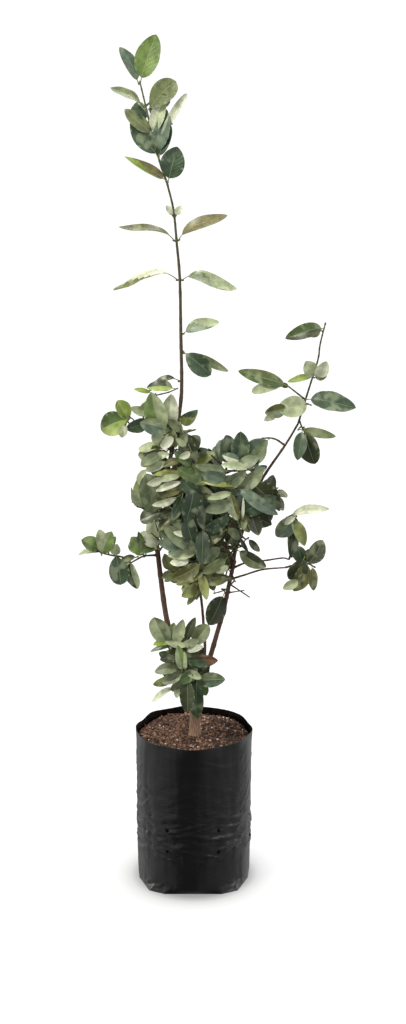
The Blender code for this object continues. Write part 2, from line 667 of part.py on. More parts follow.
def keep_main_body(mesh):
    """Fill sealed hollows and drop loose scraps: only the largest closed body stays."""
    bm = bmesh.new()
    bm.from_mesh(mesh)
    left = set(bm.verts)
    bodies = []
    while left:
        body, front = set(), [left.pop()]
        while front:
            vert = front.pop()
            body.add(vert)
            linked = {e.other_vert(vert) for e in vert.link_edges} & left
            left -= linked
            front.extend(linked)
        bodies.append(body)
    bodies.sort(key=len, reverse=True)
    for body in bodies[1:]:
        bmesh.ops.delete(bm, geom=list(body), context="VERTS")
    bm.to_mesh(mesh)
    bm.free()
    return len(bodies) - 1


def fused_mass(mass, stem, twigs, leaves, parent):
    """Join the stem, twigs and leaves of a mass into one solid."""
    main = to_object(mass.name, tube(stem, mass.stem.foot * MM, mass.stem.tip * MM, TWIG_SIDES),
                     LEAF_GREEN, parent)
    operands = bpy.data.collections.new("join_" + mass.name)
    bpy.context.scene.collection.children.link(operands)
    solids = [tube(path, foot, tip, TWIG_SIDES) for path, foot, tip in twigs]
    solids += [leaf_solid(*leaf) for leaf in leaves]
    for solid in solids:
        part = to_object("joined", solid, LEAF_GREEN, None)
        bpy.context.scene.collection.objects.unlink(part)
        operands.objects.link(part)
    join_collection(main, operands)
    for part in list(operands.objects):
        bpy.data.objects.remove(part)
    bpy.data.collections.remove(operands)
    dropped = keep_main_body(main.data)
    main.data.transform(Matrix.Translation(-stem[0]))
    main.location = stem[0]
    print(f"{mass.name}: {len(leaves)} leaves, {len(twigs)} twigs, {dropped} scraps dropped")
    return main


# ------------------------------------------------------------------------ bag and mix


def bag_radius(turn, height):
    """Return the outer radius of the filled bag at a turn and a height."""
    share = height / BAG_HEIGHT
    radius = BAG_FOOT_RADIUS + (BAG_RIM_RADIUS - BAG_FOOT_RADIUS) * share**0.6
    lobes = 0.9 * math.cos(3 * turn + 0.7) + 0.6 * math.cos(5 * turn + 2.1)
    folded = max(0.0, 1.0 - height / (24 * MM))
    corners = 1.0 - 0.055 * folded**2 - 0.02 * folded * (1 - math.cos(8 * turn + 0.4))
    return (radius + lobes * MM * (0.35 + 0.65 * share)) * corners


def ring(height, inset, sides=BAG_SIDES):
    """Return a ring of points round the bag at a height, a little inside its outer face."""
    turns = [math.tau * k / sides for k in range(sides)]
    return [Vector(((bag_radius(t, height) - inset) * math.cos(t),
                    (bag_radius(t, height) - inset) * math.sin(t), height)) for t in turns]


def lifted(points, floor):
    """Return points with none of them below a floor height."""
    return [Vector((p.x, p.y, max(p.z, floor))) for p in points]


def loft(rings):
    """Return a closed solid through rings of points, with a flat face on both ends.

    Each cell is split from its lower left to its upper right corner, whichever way the rings
    run, so that two faces made from like rings stay the same distance apart.
    """
    sides = len(rings[0])
    verts = [v for r in rings for v in r]
    faces = [tuple(reversed(range(sides)))]
    for k in range(len(rings) - 1):
        rising = rings[k + 1][0].z >= rings[k][0].z
        for s in range(sides):
            a, b = k * sides + s, k * sides + (s + 1) % sides
            c, d = b + sides, a + sides
            faces += [(a, b, c), (a, c, d)] if rising else [(a, b, d), (b, c, d)]
    faces.append(tuple(range((len(rings) - 1) * sides, len(rings) * sides)))
    return verts, faces


def planter_bag(parent):
    """Make the film bag: a thin wall with folded bottom corners and punched drain holes."""
    outside = [ring(h, 0.0) for h in BAG_LEVELS]
    inside = [lifted(ring(h, FILM), FILM) for h in reversed(BAG_LEVELS)]
    bag = to_object("planter_bag", loft([*outside, *inside]), FILM_BLACK, parent, smooth=True)
    for k in range(HOLE_COUNT):
        turn = math.radians(HOLE_FIRST_HEADING + 360 * k / HOLE_COUNT)
        radial = Vector((math.cos(turn), math.sin(turn), 0.0))
        bore = [radial * (BAG_FOOT_RADIUS + reach) + UP * HOLE_HEIGHT for reach in (-6 * MM, 10 * MM)]
        cutter = to_object(f"hole_{k + 1}", tube(bore, HOLE_DIAMETER / 2, HOLE_DIAMETER / 2, 12),
                           FILM_BLACK, parent)
        cutter.hide_render = True
        cutter.display_type = "WIRE"
        punch = bag.modifiers.new(cutter.name, "BOOLEAN")
        punch.operation = "DIFFERENCE"
        punch.object = cutter
        punch.solver = "EXACT"


def mix_height(x, y):
    """Return the height of the top of the potting mix."""
    away = math.hypot(x - TRUNK_X, y)
    loose = min(1.0, max(0.0, (away - TRUNK_CLEARING) / (20 * MM)))
    swell = math.sin(x / (17 * MM) + 0.6) * math.cos(y / (21 * MM)) + 0.5 * math.sin(y / (9 * MM) + 1.0)
    return SOIL_LEVEL + SOIL_SWELL * 0.6 * loose * swell


def potting_mix(parent):
    """Make the plug of potting mix that fills the bag to just under its rim."""
    inset = FILM + GAP
    rings = [lifted(ring(height, inset), inset) for height in BAG_LEVELS[:-1]]
    share = (MIX_EDGE - BAG_LEVELS[-2]) / (BAG_LEVELS[-1] - BAG_LEVELS[-2])
    edge = [low.lerp(high, share) for low, high in zip(rings[-1], ring(BAG_LEVELS[-1], inset))]
    rings.append(edge)
    for share in (0.97, 0.75, 0.50, 0.28):
        circle = [Vector((TRUNK_X * (1 - share) + v.x * share, v.y * share, 0.0)) for v in edge]
        rings.append([Vector((v.x, v.y, mix_height(v.x, v.y))) for v in circle])
    to_object("potting_mix", loft(rings), MIX_BROWN, parent)


def trunk(parent, space):
    """Make the short trunk: flared foot on the mix, and a flat swollen top where it forks."""
    foot = SOIL_LEVEL + GAP
    profile = ((0.0, TRUNK_FLARE), (0.08, 2.1 * MM), (0.2, 0.9 * MM), (0.45, 0.1 * MM),
               (0.75, 0.3 * MM), (0.93, FORK_SWELL), (1.0, 0.9 * MM))
    sides = 16
    rings = []
    for share, extra in profile:
        circle = []
        for k in range(sides):
            turn = math.tau * k / sides
            lobes = 1.0 + 0.10 * (1 - share) ** 3 * math.cos(4 * turn + 0.5)
            wide = 1.0 + 0.12 * share**2 * abs(math.cos(turn))
            radius = (TRUNK_RADIUS + extra) * lobes * wide
            circle.append(Vector((TRUNK_X + radius * math.cos(turn), radius * 0.96 * math.sin(turn),
                                  foot + share * (TRUNK_HEIGHT - GAP))))
        rings.append(circle)
    solid = loft(rings)
    space.put("trunk", solid)
    to_object("trunk", solid, BARK, parent, Vector((TRUNK_X, 0.0, foot)), smooth=True)
    return [(Vector((TRUNK_X, 0.0, foot + share * TRUNK_HEIGHT)), TRUNK_RADIUS + extra)
            for share, extra in profile]


def limb(entry, carriers, parent, space):
    """Make a tapering limb and return the points and radii of its path."""
    points = [Vector(p) * MM for p in entry.points]
    foot, tip = entry.foot * MM, entry.tip * MM
    if entry.carrier:
        points = clear_start(points, foot, carriers[entry.carrier])
    path = smooth_path(points, LIMB_STEP)
    sides = 8 if entry.foot > 2 else 6
    solid = tube(path, foot, tip, sides, level_foot=not entry.carrier)
    space.put(entry.name, solid)
    finish = BARK if entry.foot > 2 else GREEN_BARK
    to_object(entry.name, solid, finish, parent, path[0], smooth=True)
    return [(p, foot + (tip - foot) * at) for p, at in zip(path, lengths_along(path))]


def leader_leaf_masses():
    """Return the single leaves along the leader as masses whose stem is the leaf's petiole."""
    path = smooth_path([Vector(p) for p in LIMBS[0].points], 5.0)
    masses = []
    for name, height, leaf in LEADER_LEAVES:
        root = min(path, key=lambda p: abs(p.z - height))
        along = polar(leaf.heading, leaf.rise)
        stem = Twig((tuple(root), tuple(root + along * 8), tuple(root + along * 13)), (
            Leaf(0.40, leaf.heading, leaf.rise, leaf.length - 6, leaf.width, leaf.face),), 0.9, 0.8)
        masses.append(Mass(name, "leader", stem))
    return masses


def main():
    """Build the whole plant in its bag."""
    for thing in list(bpy.data.objects):
        bpy.data.objects.remove(thing)
    plant = bpy.data.objects.new("potted_plant", None)
    bpy.context.scene.collection.objects.link(plant)
    masses = [*leader_leaf_masses(), *MASSES]
    space = Space(masses)
    planter_bag(plant)
    potting_mix(plant)
    carriers = {"trunk": trunk(plant, space)}
    for entry in LIMBS:
        carriers[entry.name] = limb(entry, carriers, plant, space)
    total = 0
    for mass in masses:
        points = [Vector(p) * MM for p in mass.stem.points]
        points = clear_start(points, mass.stem.foot * MM, carriers[mass.limb])
        stem = smooth_path(points, STEM_STEP)
        twigs, leaves = grow(mass, stem, space)
        fused_mass(mass, stem, twigs, leaves, plant)
        total += len(leaves)
    print("leaves in all:", total)


main()
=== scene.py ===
"""A young tree in a black film nursery bag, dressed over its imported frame.

Metres, +Z up, -Y to the front.  Sizes in the tables are real ones in millimetres, and the listed
leaves are placed in the camera's frame of 406 by 1024 pixels.  A heading is read in plan: 0 is to
the right, 90 to the back, 180 to the left and 270 to the front.
"""

import logging
import math
import random
from collections.abc import Iterable, Iterator, Sequence
from dataclasses import dataclass, field, replace
from enum import Enum

import bmesh
import bpy
import numpy as np
from mathutils import Matrix, Vector, noise
from mathutils.bvhtree import BVHTree


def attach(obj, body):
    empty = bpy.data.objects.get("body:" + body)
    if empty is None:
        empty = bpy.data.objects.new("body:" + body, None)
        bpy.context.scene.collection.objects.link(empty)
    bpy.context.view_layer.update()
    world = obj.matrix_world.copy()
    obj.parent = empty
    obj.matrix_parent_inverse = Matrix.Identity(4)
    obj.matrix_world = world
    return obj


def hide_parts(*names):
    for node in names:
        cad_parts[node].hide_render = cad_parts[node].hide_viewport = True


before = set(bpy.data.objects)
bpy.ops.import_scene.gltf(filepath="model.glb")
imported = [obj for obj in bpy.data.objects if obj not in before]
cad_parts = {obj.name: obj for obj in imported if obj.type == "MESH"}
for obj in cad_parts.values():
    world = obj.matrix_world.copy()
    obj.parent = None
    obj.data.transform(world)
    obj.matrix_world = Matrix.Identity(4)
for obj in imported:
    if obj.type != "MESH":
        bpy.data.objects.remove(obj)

LOG = logging.getLogger("sapling")
BODY = "root"

MM = 0.001
UP = Vector((0.0, 0.0, 1.0))
FRONT = Vector((0.0, -1.0, 0.0))

Path = list[Vector]
Solid = tuple[list[Vector], list[tuple[int, ...]]]
Colour = tuple[float, float, float]


# ---- shaders as expressions


class Value:
    """A number, colour or vector on a shader socket, with arithmetic that adds Math nodes."""

    def __init__(self, painter: "Painter", socket: bpy.types.NodeSocket) -> None:
        """Keep the socket and the painter whose tree it is in."""
        self.painter = painter
        self.socket = socket

    def _math(self, operation: str, first: "Given", second: "Given") -> "Value":
        """Return the result of a Math node on two numbers."""
        return self.painter.node("ShaderNodeMath", {"operation": operation}, {0: first, 1: second})

    def __add__(self, other: "Given") -> "Value":
        """Return self + other."""
        return self._math("ADD", self, other)

    def __radd__(self, other: "Given") -> "Value":
        """Return other + self."""
        return self._math("ADD", other, self)

    def __sub__(self, other: "Given") -> "Value":
        """Return self - other."""
        return self._math("SUBTRACT", self, other)

    def __rsub__(self, other: "Given") -> "Value":
        """Return other - self."""
        return self._math("SUBTRACT", other, self)

    def __mul__(self, other: "Given") -> "Value":
        """Return self * other."""
        return self._math("MULTIPLY", self, other)

    def __rmul__(self, other: "Given") -> "Value":
        """Return other * self."""
        return self._math("MULTIPLY", other, self)

    def __abs__(self) -> "Value":
        """Return the size of self without its sign."""
        return self._math("ABSOLUTE", self, 0.0)


Given = Value | float | Sequence[float]


class Painter:
    """Builds the node tree of one material."""

    def __init__(self, name: str) -> None:
        """Start a material with a Principled shader.

        Args:
            name: the material's name.
        """
        self.material = bpy.data.materials.new(name)
        self.material.use_nodes = True
        self.tree = self.material.node_tree
        self.shader = self.tree.nodes["Principled BSDF"]

    def feed(self, socket: bpy.types.NodeSocket, given: Given) -> None:
        """Link a value to a socket, or set a number or colour on it.

        Args:
            socket: the socket.
            given: the value, number or colour.
        """
        if isinstance(given, Value):
            self.tree.links.new(given.socket, socket)
        else:
            socket.default_value = given

    def node(self, kind: str, settings: dict | None = None, inputs: dict | None = None,
             output: int | str = 0) -> Value:
        """Add a node.

        Args:
            kind: the node's type.
            settings: its own settings, set first; "stops" are a ramp's places and colours.
            inputs: what each of its sockets takes.
            output: the socket to read.

        Returns:
            The value on that output.
        """
        made = self.tree.nodes.new(kind)
        for name, setting in (settings or {}).items():
            if name == "stops":
                self._set_stops(made.color_ramp, setting)
            else:
                setattr(made, name, setting)
        for key, given in (inputs or {}).items():
            self.feed(made.inputs[key], given)
        return Value(self, made.outputs[output])

    @staticmethod
    def _set_stops(ramp: bpy.types.ColorRamp, stops: Sequence[tuple[float, Colour]]) -> None:
        """Give a ramp its places and colours.

        Args:
            ramp: the ramp, with two stops of its own.
            stops: each stop's place and colour, from low to high.
        """
        while len(ramp.elements) < len(stops):
            ramp.elements.new(1.0)
        for element, (place, colour) in zip(ramp.elements, stops):
            element.position = place
            element.color = (*colour, 1.0)

    def place(self) -> Value:
        """Return the position in the piece's own frame."""
        return self.node("ShaderNodeTexCoord", output="Object")

    def stretched(self, scale: Sequence[float]) -> Value:
        """Return the position stretched by a factor along each axis."""
        return self.node("ShaderNodeVectorMath", {"operation": "MULTIPLY"},
                         {0: self.place(), 1: scale})

    def part(self, vector: Value, axis: str) -> Value:
        """Return one part, X, Y or Z, of a vector."""
        return self.node("ShaderNodeSeparateXYZ", {}, {0: vector}, axis)

    def grain(self, scale: float, detail: float = 3.0, where: Value | None = None) -> Value:
        """Return fractal noise from 0 to 1.

        Args:
            scale: how many grains stand in a metre.
            detail: how many finer layers it has.
            where: the position to read it at.

        Returns:
            The noise.
        """
        return self.node("ShaderNodeTexNoise", {},
                         {"Vector": where or self.place(), "Scale": scale, "Detail": detail})

    def cells(self, scale: float, where: Value | None = None) -> Value:
        """Return the distance to the nearest of scattered points."""
        return self.node("ShaderNodeTexVoronoi", {}, {"Vector": where or self.place(), "Scale": scale},
                         "Distance")

    def eased(self, value: Value, low: float, high: float) -> Value:
        """Return a smooth step from 0 at low to 1 at high."""
        return self.node("ShaderNodeMapRange", {"interpolation_type": "SMOOTHSTEP"},
                         {"Value": value, "From Min": low, "From Max": high})

    def mix(self, share: Given, first: Given, second: Given) -> Value:
        """Return a colour mixed from two by a share."""
        return self.node("ShaderNodeMix", {"data_type": "RGBA"}, {0: share, 6: opaque(first),
                                                                 7: opaque(second)}, 2)

    def ramp(self, value: Value, stops: Sequence[tuple[float, Colour]]) -> Value:
        """Return the colour at a value on a ramp."""
        return self.node("ShaderNodeValToRGB", {"stops": stops}, {0: value})

    def bump(self, height: Value, depth: float, strength: float = 1.0) -> Value:
        """Return the normal bent by a height of so many metres at 1."""
        return self.node("ShaderNodeBump", {},
                         {"Height": height, "Distance": depth, "Strength": strength})

    def finish(self, colour: Given, roughness: Given, normal: Value | None = None,
               **constants: float) -> bpy.types.Material:
        """Feed the shader and return the material.

        Args:
            colour: the base colour.
            roughness: the roughness.
            normal: the bent normal, if there is one.
            constants: numbers for other sockets, with _ in place of each space.

        Returns:
            The material.
        """
        self.feed(self.shader.inputs["Base Color"], opaque(colour))
        self.feed(self.shader.inputs["Roughness"], roughness)
        if normal:
            self.feed(self.shader.inputs["Normal"], normal)
        for name, number in constants.items():
            self.shader.inputs[name.replace("_", " ").title().replace("Ior", "IOR")].default_value = number
        return self.material


class WorldPainter(Painter):
    """Builds the node tree of the world, whose shader is mixed from backgrounds."""

    def __init__(self, name: str) -> None:
        """Start a world with an empty tree.

        Args:
            name: the world's name.
        """
        world = bpy.data.worlds.new(name)
        bpy.context.scene.world = world
        world.use_nodes = True
        self.tree = world.node_tree
        self.tree.nodes.clear()

    def spread(self, value: Value, low: float, high: float, most: float) -> Value:
        """Return 1 where a value is low, running up to most where it is high."""
        return self.node("ShaderNodeMapRange", {}, {"Value": value, "From Min": low, "From Max": high,
                                                    "To Min": 1.0, "To Max": most})

    def background(self, colour: Given, strength: Given) -> Value:
        """Return a background shader."""
        return self.node("ShaderNodeBackground", {}, {"Color": opaque(colour), "Strength": strength})

    def chosen(self, share: Value, first: Value, second: Value) -> Value:
        """Return a shader mixed from two by a share."""
        return self.node("ShaderNodeMixShader", {}, {0: share, 1: first, 2: second})


def opaque(given: Given) -> Given:
    """Return a colour of three numbers with an alpha of 1, and any other value as it is."""
    return (*given, 1.0) if isinstance(given, tuple) and len(given) == 3 else given


def scaled(colour: Colour, factor: float) -> Colour:
    """Return a colour made lighter or darker."""
    return tuple(part * factor for part in colour)


# ---- finishes


class Tone(Enum):
    """The leaf colours, each with the colour of its upper side; the darkest paints leaves in shade, and the
    palest, nearly white, paints leaves paled by sheen.
    """

    BRIGHT = (0.170, 0.260, 0.065)
    LIME = (0.240, 0.330, 0.050)
    WILLOW = (0.280, 0.310, 0.090)
    OLIVE = (0.120, 0.125, 0.030)
    BRONZE = (0.155, 0.135, 0.042)
    KHAKI = (0.165, 0.200, 0.080)
    MID = (0.080, 0.130, 0.035)
    SAGE = (0.170, 0.210, 0.110)
    BLUE = (0.110, 0.165, 0.112)
    DEEP = (0.048, 0.088, 0.042)
    SHADE = (0.022, 0.046, 0.018)
    FOREST = (0.035, 0.048, 0.014)
    PALE = (0.390, 0.450, 0.260)
    # painted highlight: nearly white, for leaves that look pale under sheen
    SILVER = (0.610, 0.640, 0.470)
    RUST = (0.200, 0.082, 0.044)


class Split(Enum):
    """The part of a leaf that has its second tone; the sides are as seen from above, tip up."""

    LEFT = 0
    RIGHT = 1
    TIP = 2


class Side(Enum):
    """The faces of a leaf that have a finish of their own."""

    UPPER = 0
    UNDER = 1
    RIB = 2


@dataclass(frozen=True)
class LeafFinish:
    """The waxy upper side and the matt under side of a leaf of one tone."""

    tone: Tone
    mottle: float = 90.0  # patches in a metre
    # painted sheen: how strong the pale patches are that stand in for glints of light
    painted_sheen: float = 0.48  # how far the palest patches go towards sap green
    vein_pairs: float = 9.0
    vein_slope: float = 2.6  # how far a side vein runs forward on its way to the margin
    vein_depth: float = 0.25 * MM

    def _veins(self, painter: Painter) -> Value:
        """Draw the side veins.

        Args:
            painter: the material's painter.

        Returns:
            1 on the veins and 0 between them.
        """
        spot = painter.node("ShaderNodeUVMap", {"uv_map": "leaf"})
        across = abs(painter.part(spot, "X") * 2.0 - 1.0)
        run = painter.part(spot, "Y") * self.vein_pairs - across * self.vein_slope
        wave = painter.node("ShaderNodeMath", {"operation": "PINGPONG"}, {0: run, 1: 0.5})
        return (1.0 - painter.eased(wave, 0.0, 0.11)) * (1.0 - painter.eased(across, 0.75, 1.0))

    def upper(self) -> bpy.types.Material:
        """Build the glossy finish of the upper side, with painted sheen in pale patches.

        Returns:
            The material.
        """
        painter = Painter(f"leaf_{self.tone.name.lower()}")
        veins = self._veins(painter)
        patches = painter.grain(self.mottle, 2.0)
        base = painter.mix(painter.eased(patches, 0.35, 0.68), scaled(self.tone.value, 0.72),
                           scaled(self.tone.value, 1.24))
        # painted sheen: pale patches that stand in for glints of light on the upper side, weaker on the
        # bright tones
        sheen_patches = painter.eased(painter.grain(self.mottle * 0.8, 1.0, painter.stretched((1.0, 1.0, 0.8))),
                              0.54, 0.70)
        painted_sheen = self.painted_sheen * (0.25 if self.tone in (Tone.BRIGHT, Tone.LIME, Tone.BRONZE) else 1.0)
        sheened = painter.mix(sheen_patches * painted_sheen, base, lightened(self.tone.value, 0.75))
        colour = painter.mix(veins * 0.22, sheened, lightened(self.tone.value, 0.30))
        roughness = 0.34 + patches * 0.14
        return painter.finish(colour, roughness, painter.bump(1.0 - veins, self.vein_depth, 0.5),
                              specular_ior_level=0.55, coat_weight=0.12, coat_roughness=0.25)

    def rib(self) -> bpy.types.Material:
        """Build the finish of the midrib, a little paler than the blade.

        Returns:
            The material.
        """
        painter = Painter(f"leaf_{self.tone.name.lower()}_rib")
        streaks = painter.grain(400.0, 2.0)
        pale = lightened(self.tone.value, 0.22)
        return painter.finish(painter.mix(streaks, scaled(pale, 0.9), scaled(pale, 1.1)),
                              0.40 + streaks * 0.1)

    def under(self) -> bpy.types.Material:
        """Build the paler, matt finish of the under side.

        Returns:
            The material.
        """
        painter = Painter(f"leaf_{self.tone.name.lower()}_under")
        veins = self._veins(painter)
        patches = painter.grain(self.mottle, 2.0)
        pale = lightened(self.tone.value, 0.28)
        base = painter.mix(patches, scaled(pale, 0.85), scaled(pale, 1.1))
        colour = painter.mix(veins * 0.35, base, lightened(pale, 0.3))
        return painter.finish(colour, 0.55 + patches * 0.12,
                              painter.bump(veins, self.vein_depth, 0.6))


def lightened(colour: Colour, share: float) -> Colour:
    """Return a colour taken a share of the way to a pale sap green."""
    sap = (0.50, 0.56, 0.36)
    return tuple(part + (pale - part) * share for part, pale in zip(colour, sap))


@dataclass(frozen=True)
class RibFinish:
    """The pale green of petioles and midribs."""

    colour: Colour = (0.27, 0.33, 0.13)
    shade: Colour = (0.17, 0.20, 0.07)

    def material(self) -> bpy.types.Material:
        """Build the finish.

        Returns:
            The material.
        """
        painter = Painter("petiole_green")
        streaks = painter.grain(260.0, 2.0)
        return painter.finish(painter.mix(streaks, self.shade, self.colour), 0.42 + streaks * 0.12,
                              painter.bump(painter.grain(1500.0), 0.1 * MM))


@dataclass(frozen=True)
class BarkFinish:
    """Young bark: brown and streaked at the foot, red on the stems, olive towards the tips."""

    name: str = "stem_bark"
    foot: Colour = (0.420, 0.260, 0.175)
    low: Colour = (0.145, 0.076, 0.054)
    middle: Colour = (0.125, 0.066, 0.047)
    high: Colour = (0.085, 0.066, 0.036)
    tip: Colour = (0.090, 0.100, 0.042)
    lenticel: Colour = (0.34, 0.27, 0.19)
    tallest: float = 1.15  # where the ramp of heights ends

    def material(self) -> bpy.types.Material:
        """Build the finish.

        Returns:
            The material.
        """
        painter = Painter(self.name)
        height = painter.part(painter.place(), "Z") * (1.0 / self.tallest)
        drift = (painter.grain(24.0, 2.0) - 0.5) * 0.10
        base = painter.ramp(height + drift, ((0.19, self.foot), (0.26, self.low), (0.50, self.middle),
                                             (0.66, self.high), (0.86, self.tip)))
        streaks = painter.grain(1.0, 4.0, painter.stretched((900.0, 900.0, 110.0)))
        fissures = painter.eased(streaks, 0.36, 0.60)
        streaked = painter.mix(0.55 - fissures * 0.55, base, (0.035, 0.022, 0.016))
        spots = painter.cells(1.0, painter.stretched((260.0, 260.0, 190.0)))
        lenticels = 1.0 - painter.eased(spots, 0.10, 0.20)
        colour = painter.mix(lenticels * 0.55, streaked, self.lenticel)
        relief = fissures * 0.7 + lenticels * 0.5 + painter.grain(2600.0, 3.0) * 0.25
        return painter.finish(colour, 0.62 + streaks * 0.25, painter.bump(relief, 0.45 * MM, 0.8))


@dataclass(frozen=True)
class FilmFinish:
    """Black polythene film: satin, with faint drawn streaks, dust and scuffs."""

    colour: Colour = (0.0030, 0.0030, 0.0032)
    dusty: Colour = (0.012, 0.0115, 0.011)

    def material(self) -> bpy.types.Material:
        """Build the finish.

        Returns:
            The material.
        """
        painter = Painter("film_black")
        clouds = painter.grain(26.0, 4.0)
        drawn = painter.grain(1.0, 3.0, painter.stretched((420.0, 420.0, 28.0)))
        height = painter.part(painter.place(), "Z")
        low = 1.0 - painter.eased(height, 0.004, 0.060)
        dust = painter.eased(clouds, 0.50, 0.78) * (low * 0.5 + 0.22)
        colour = painter.mix(dust, self.colour, self.dusty)
        roughness = 0.17 + clouds * 0.10 + drawn * 0.06 + dust * 0.14
        rucks = painter.grain(1.0, 3.0, painter.stretched((38.0, 38.0, 95.0)))
        rucked = painter.eased(height, 0.030, 0.070) - painter.eased(height, 0.095, 0.200)
        relief = drawn * 0.20 + painter.grain(110.0, 3.0) * 0.30 + rucks * (rucked * 3.2 + 0.7)
        return painter.finish(colour, roughness, painter.bump(relief, 0.80 * MM, 0.9))


def painted_shadow(painter: Painter) -> Value:
    """Return the painted shadow on the mix: it darkens it to the right of the trunk, where the tuft's shadow
    falls.

    Args:
        painter: the material's painter.

    Returns:
        From 0 where it is lit to 1 where it is in the painted shadow.
    """
    patches = painter.grain(42.0, 2.0)
    return painter.eased(painter.part(painter.place(), "X") * 8.0 + patches * 0.6, 0.42, 0.86)


@dataclass(frozen=True)
class MixFinish:
    """The damp brown dust between the pieces of bark, darker by painted shade below its top, inside the bag,
    and to the right of the trunk.
    """

    dark: Colour = (0.010, 0.006, 0.004)
    light: Colour = (0.105, 0.055, 0.034)

    def material(self) -> bpy.types.Material:
        """Build the finish.

        Returns:
            The material.
        """
        painter = Painter("mix_brown")
        crumbs = painter.grain(260.0, 6.0)
        damp = painter.grain(30.0, 2.0)
        # painted shade: darker below the top of the mix, inside the bag, and to the right of the trunk where
        # the tuft's shadow falls
        buried = 1.0 - painter.eased(painter.part(painter.place(), "Z"), 0.185, 0.198)
        painted_shade = buried * 0.8 + painted_shadow(painter) * 0.20
        shade = painter.eased(crumbs * 0.8 + damp * 0.25 - painted_shade, 0.36, 0.66)
        return painter.finish(painter.mix(shade, self.dark, self.light), 0.92,
                              painter.bump(crumbs, 1.6 * MM))


@dataclass(frozen=True)
class ChipFinish:
    """Composted bark and wood fibre, in browns that differ from piece to piece, darker to the right of the
    trunk by a painted shadow.
    """

    name: str
    dark: Colour
    light: Colour
    roughness: float = 0.85

    def material(self) -> bpy.types.Material:
        """Build the finish.

        Returns:
            The material.
        """
        painter = Painter(self.name)
        pieces = painter.grain(70.0, 2.0)
        fibre = painter.grain(1100.0, 3.0)
        # painted shadow: darker to the right of the trunk, where the tuft's shadow falls
        shade = (painter.eased(pieces, 0.35, 0.65) * 0.75 + fibre * 0.25) * (1.0 - painted_shadow(painter) * 0.74)
        return painter.finish(painter.mix(shade, self.dark, self.light), self.roughness,
                              painter.bump(fibre, 0.5 * MM))


@dataclass(frozen=True)
class StageFinish:
    """The plain near-white floor, which glows more the further it is from the plant; the low glow round the
    bag paints a soft contact shadow.
    """

    colour: Colour = (0.12, 0.12, 0.12)
    reach: float = 0.25  # where the ramp of glows ends
    # painted shadow: the glow is lowest round the bag's foot, for a soft contact shadow, and white further
    # off
    glows_with_painted_shadow: tuple[tuple[float, float], ...] = ((0.296, 0.30), (0.332, 0.50), (0.36, 0.67), (0.40, 0.79),
                                              (0.448, 0.87), (0.54, 0.95), (0.72, 1.04))
    forward: float = 6 * MM  # how far the shade is shifted to the front

    def material(self) -> bpy.types.Material:
        """Build the finish.

        Returns:
            The material.
        """
        painter = Painter("floor_white")
        shifted = painter.node("ShaderNodeVectorMath", {"operation": "ADD"},
                               {0: painter.place(), 1: (0.0, self.forward, 0.0)})
        away = painter.node("ShaderNodeVectorMath", {"operation": "LENGTH"}, {0: shifted}, "Value")
        # painted contact shadow: less glow near the bag
        glow = painter.ramp(away * (1.0 / self.reach), [(at, (glow,) * 3) for at, glow in self.glows_with_painted_shadow])
        painter.feed(painter.shader.inputs["Emission Color"], glow)
        return painter.finish(self.colour, 0.9, specular_ior_level=0.0, emission_strength=1.0)


# ---- paths and meshes


def front_course(turn: float) -> Vector:
    """Return the direction at a turn in the upright plane that faces the front."""
    return Vector((math.cos(math.radians(turn)), 0.0, math.sin(math.radians(turn))))


def outward(turn: float) -> Vector:
    """Return the level direction at a turn from +X towards the back, in radians."""
    return Vector((math.cos(turn), math.sin(turn), 0.0))


def all_round(count: int) -> list[float]:
    """Return a count of turns spread evenly round a circle, in radians."""
    return [math.tau * k / count for k in range(count)]


def square_to(vector: Vector, axis: Vector) -> Vector:
    """Return the unit part of a vector that is square to an axis."""
    return (vector - axis * vector.dot(axis)).normalized()


def upper_way(face: float, along: Vector) -> Vector:
    """Return which way a leaf's upper side looks, from its face in degrees and its course."""
    look = math.radians(face)
    return square_to(Vector((0.0, -math.sin(look), math.cos(look))), along)


def smooth_path(points: Sequence[Vector], step: float) -> Path:
    """Return a smooth curve through points.

    Args:
        points: the points that it passes.
        step: about how far apart its own points are.

    Returns:
        The points of the curve.
    """
    ends = [points[0] * 2 - points[1], *points, points[-1] * 2 - points[-2]]
    path = [points[0].copy()]
    for a, b, c, d in zip(ends, ends[1:], ends[2:], ends[3:]):
        count = max(1, round((c - b).length / step))
        for k in range(1, count + 1):
            t = k / count
            path.append(0.5 * (2 * b + (c - a) * t + (2 * a - 5 * b + 4 * c - d) * t**2
                               + (3 * b - a - 3 * c + d) * t**3))
    return path


def lengths_along(path: Path) -> list[float]:
    """Measure how far along a path its points lie.

    Args:
        path: the path.

    Returns:
        A share from 0 to 1 for each point.
    """
    run = [0.0]
    for a, b in zip(path, path[1:]):
        run.append(run[-1] + (b - a).length)
    return [r / run[-1] for r in run]


def point_along(path: Path, at: float) -> tuple[Vector, Vector]:
    """Find a place on a path.

    Args:
        path: the path.
        at: the share of its length, from 0 to 1.

    Returns:
        The point and the direction there.
    """
    run = lengths_along(path)
    for a, b, ra, rb in zip(path, path[1:], run, run[1:]):
        if at <= rb or b is path[-1]:
            share = min(1.0, (at - ra) / (rb - ra))
            return a.lerp(b, share), (b - a).normalized()
    raise ValueError("a path needs two points")


def whole_length(path: Path) -> float:
    """Return the length of a path."""
    return sum((b - a).length for a, b in zip(path, path[1:]))


def lofted(rings: Sequence[Sequence[Vector]]) -> Solid:
    """Join rings of points into a closed solid.

    Args:
        rings: rings of the same number of points each, anticlockwise seen from the last.

    Returns:
        Its vertices and faces.
    """
    sides = len(rings[0])
    faces: list[tuple[int, ...]] = []
    for k in range(len(rings) - 1):
        for s in range(sides):
            a, b = k * sides + s, k * sides + (s + 1) % sides
            faces.append((a, b, b + sides, a + sides))
    faces.append(tuple(reversed(range(sides))))
    faces.append(tuple(range((len(rings) - 1) * sides, len(rings) * sides)))
    return [v for ring in rings for v in ring], faces


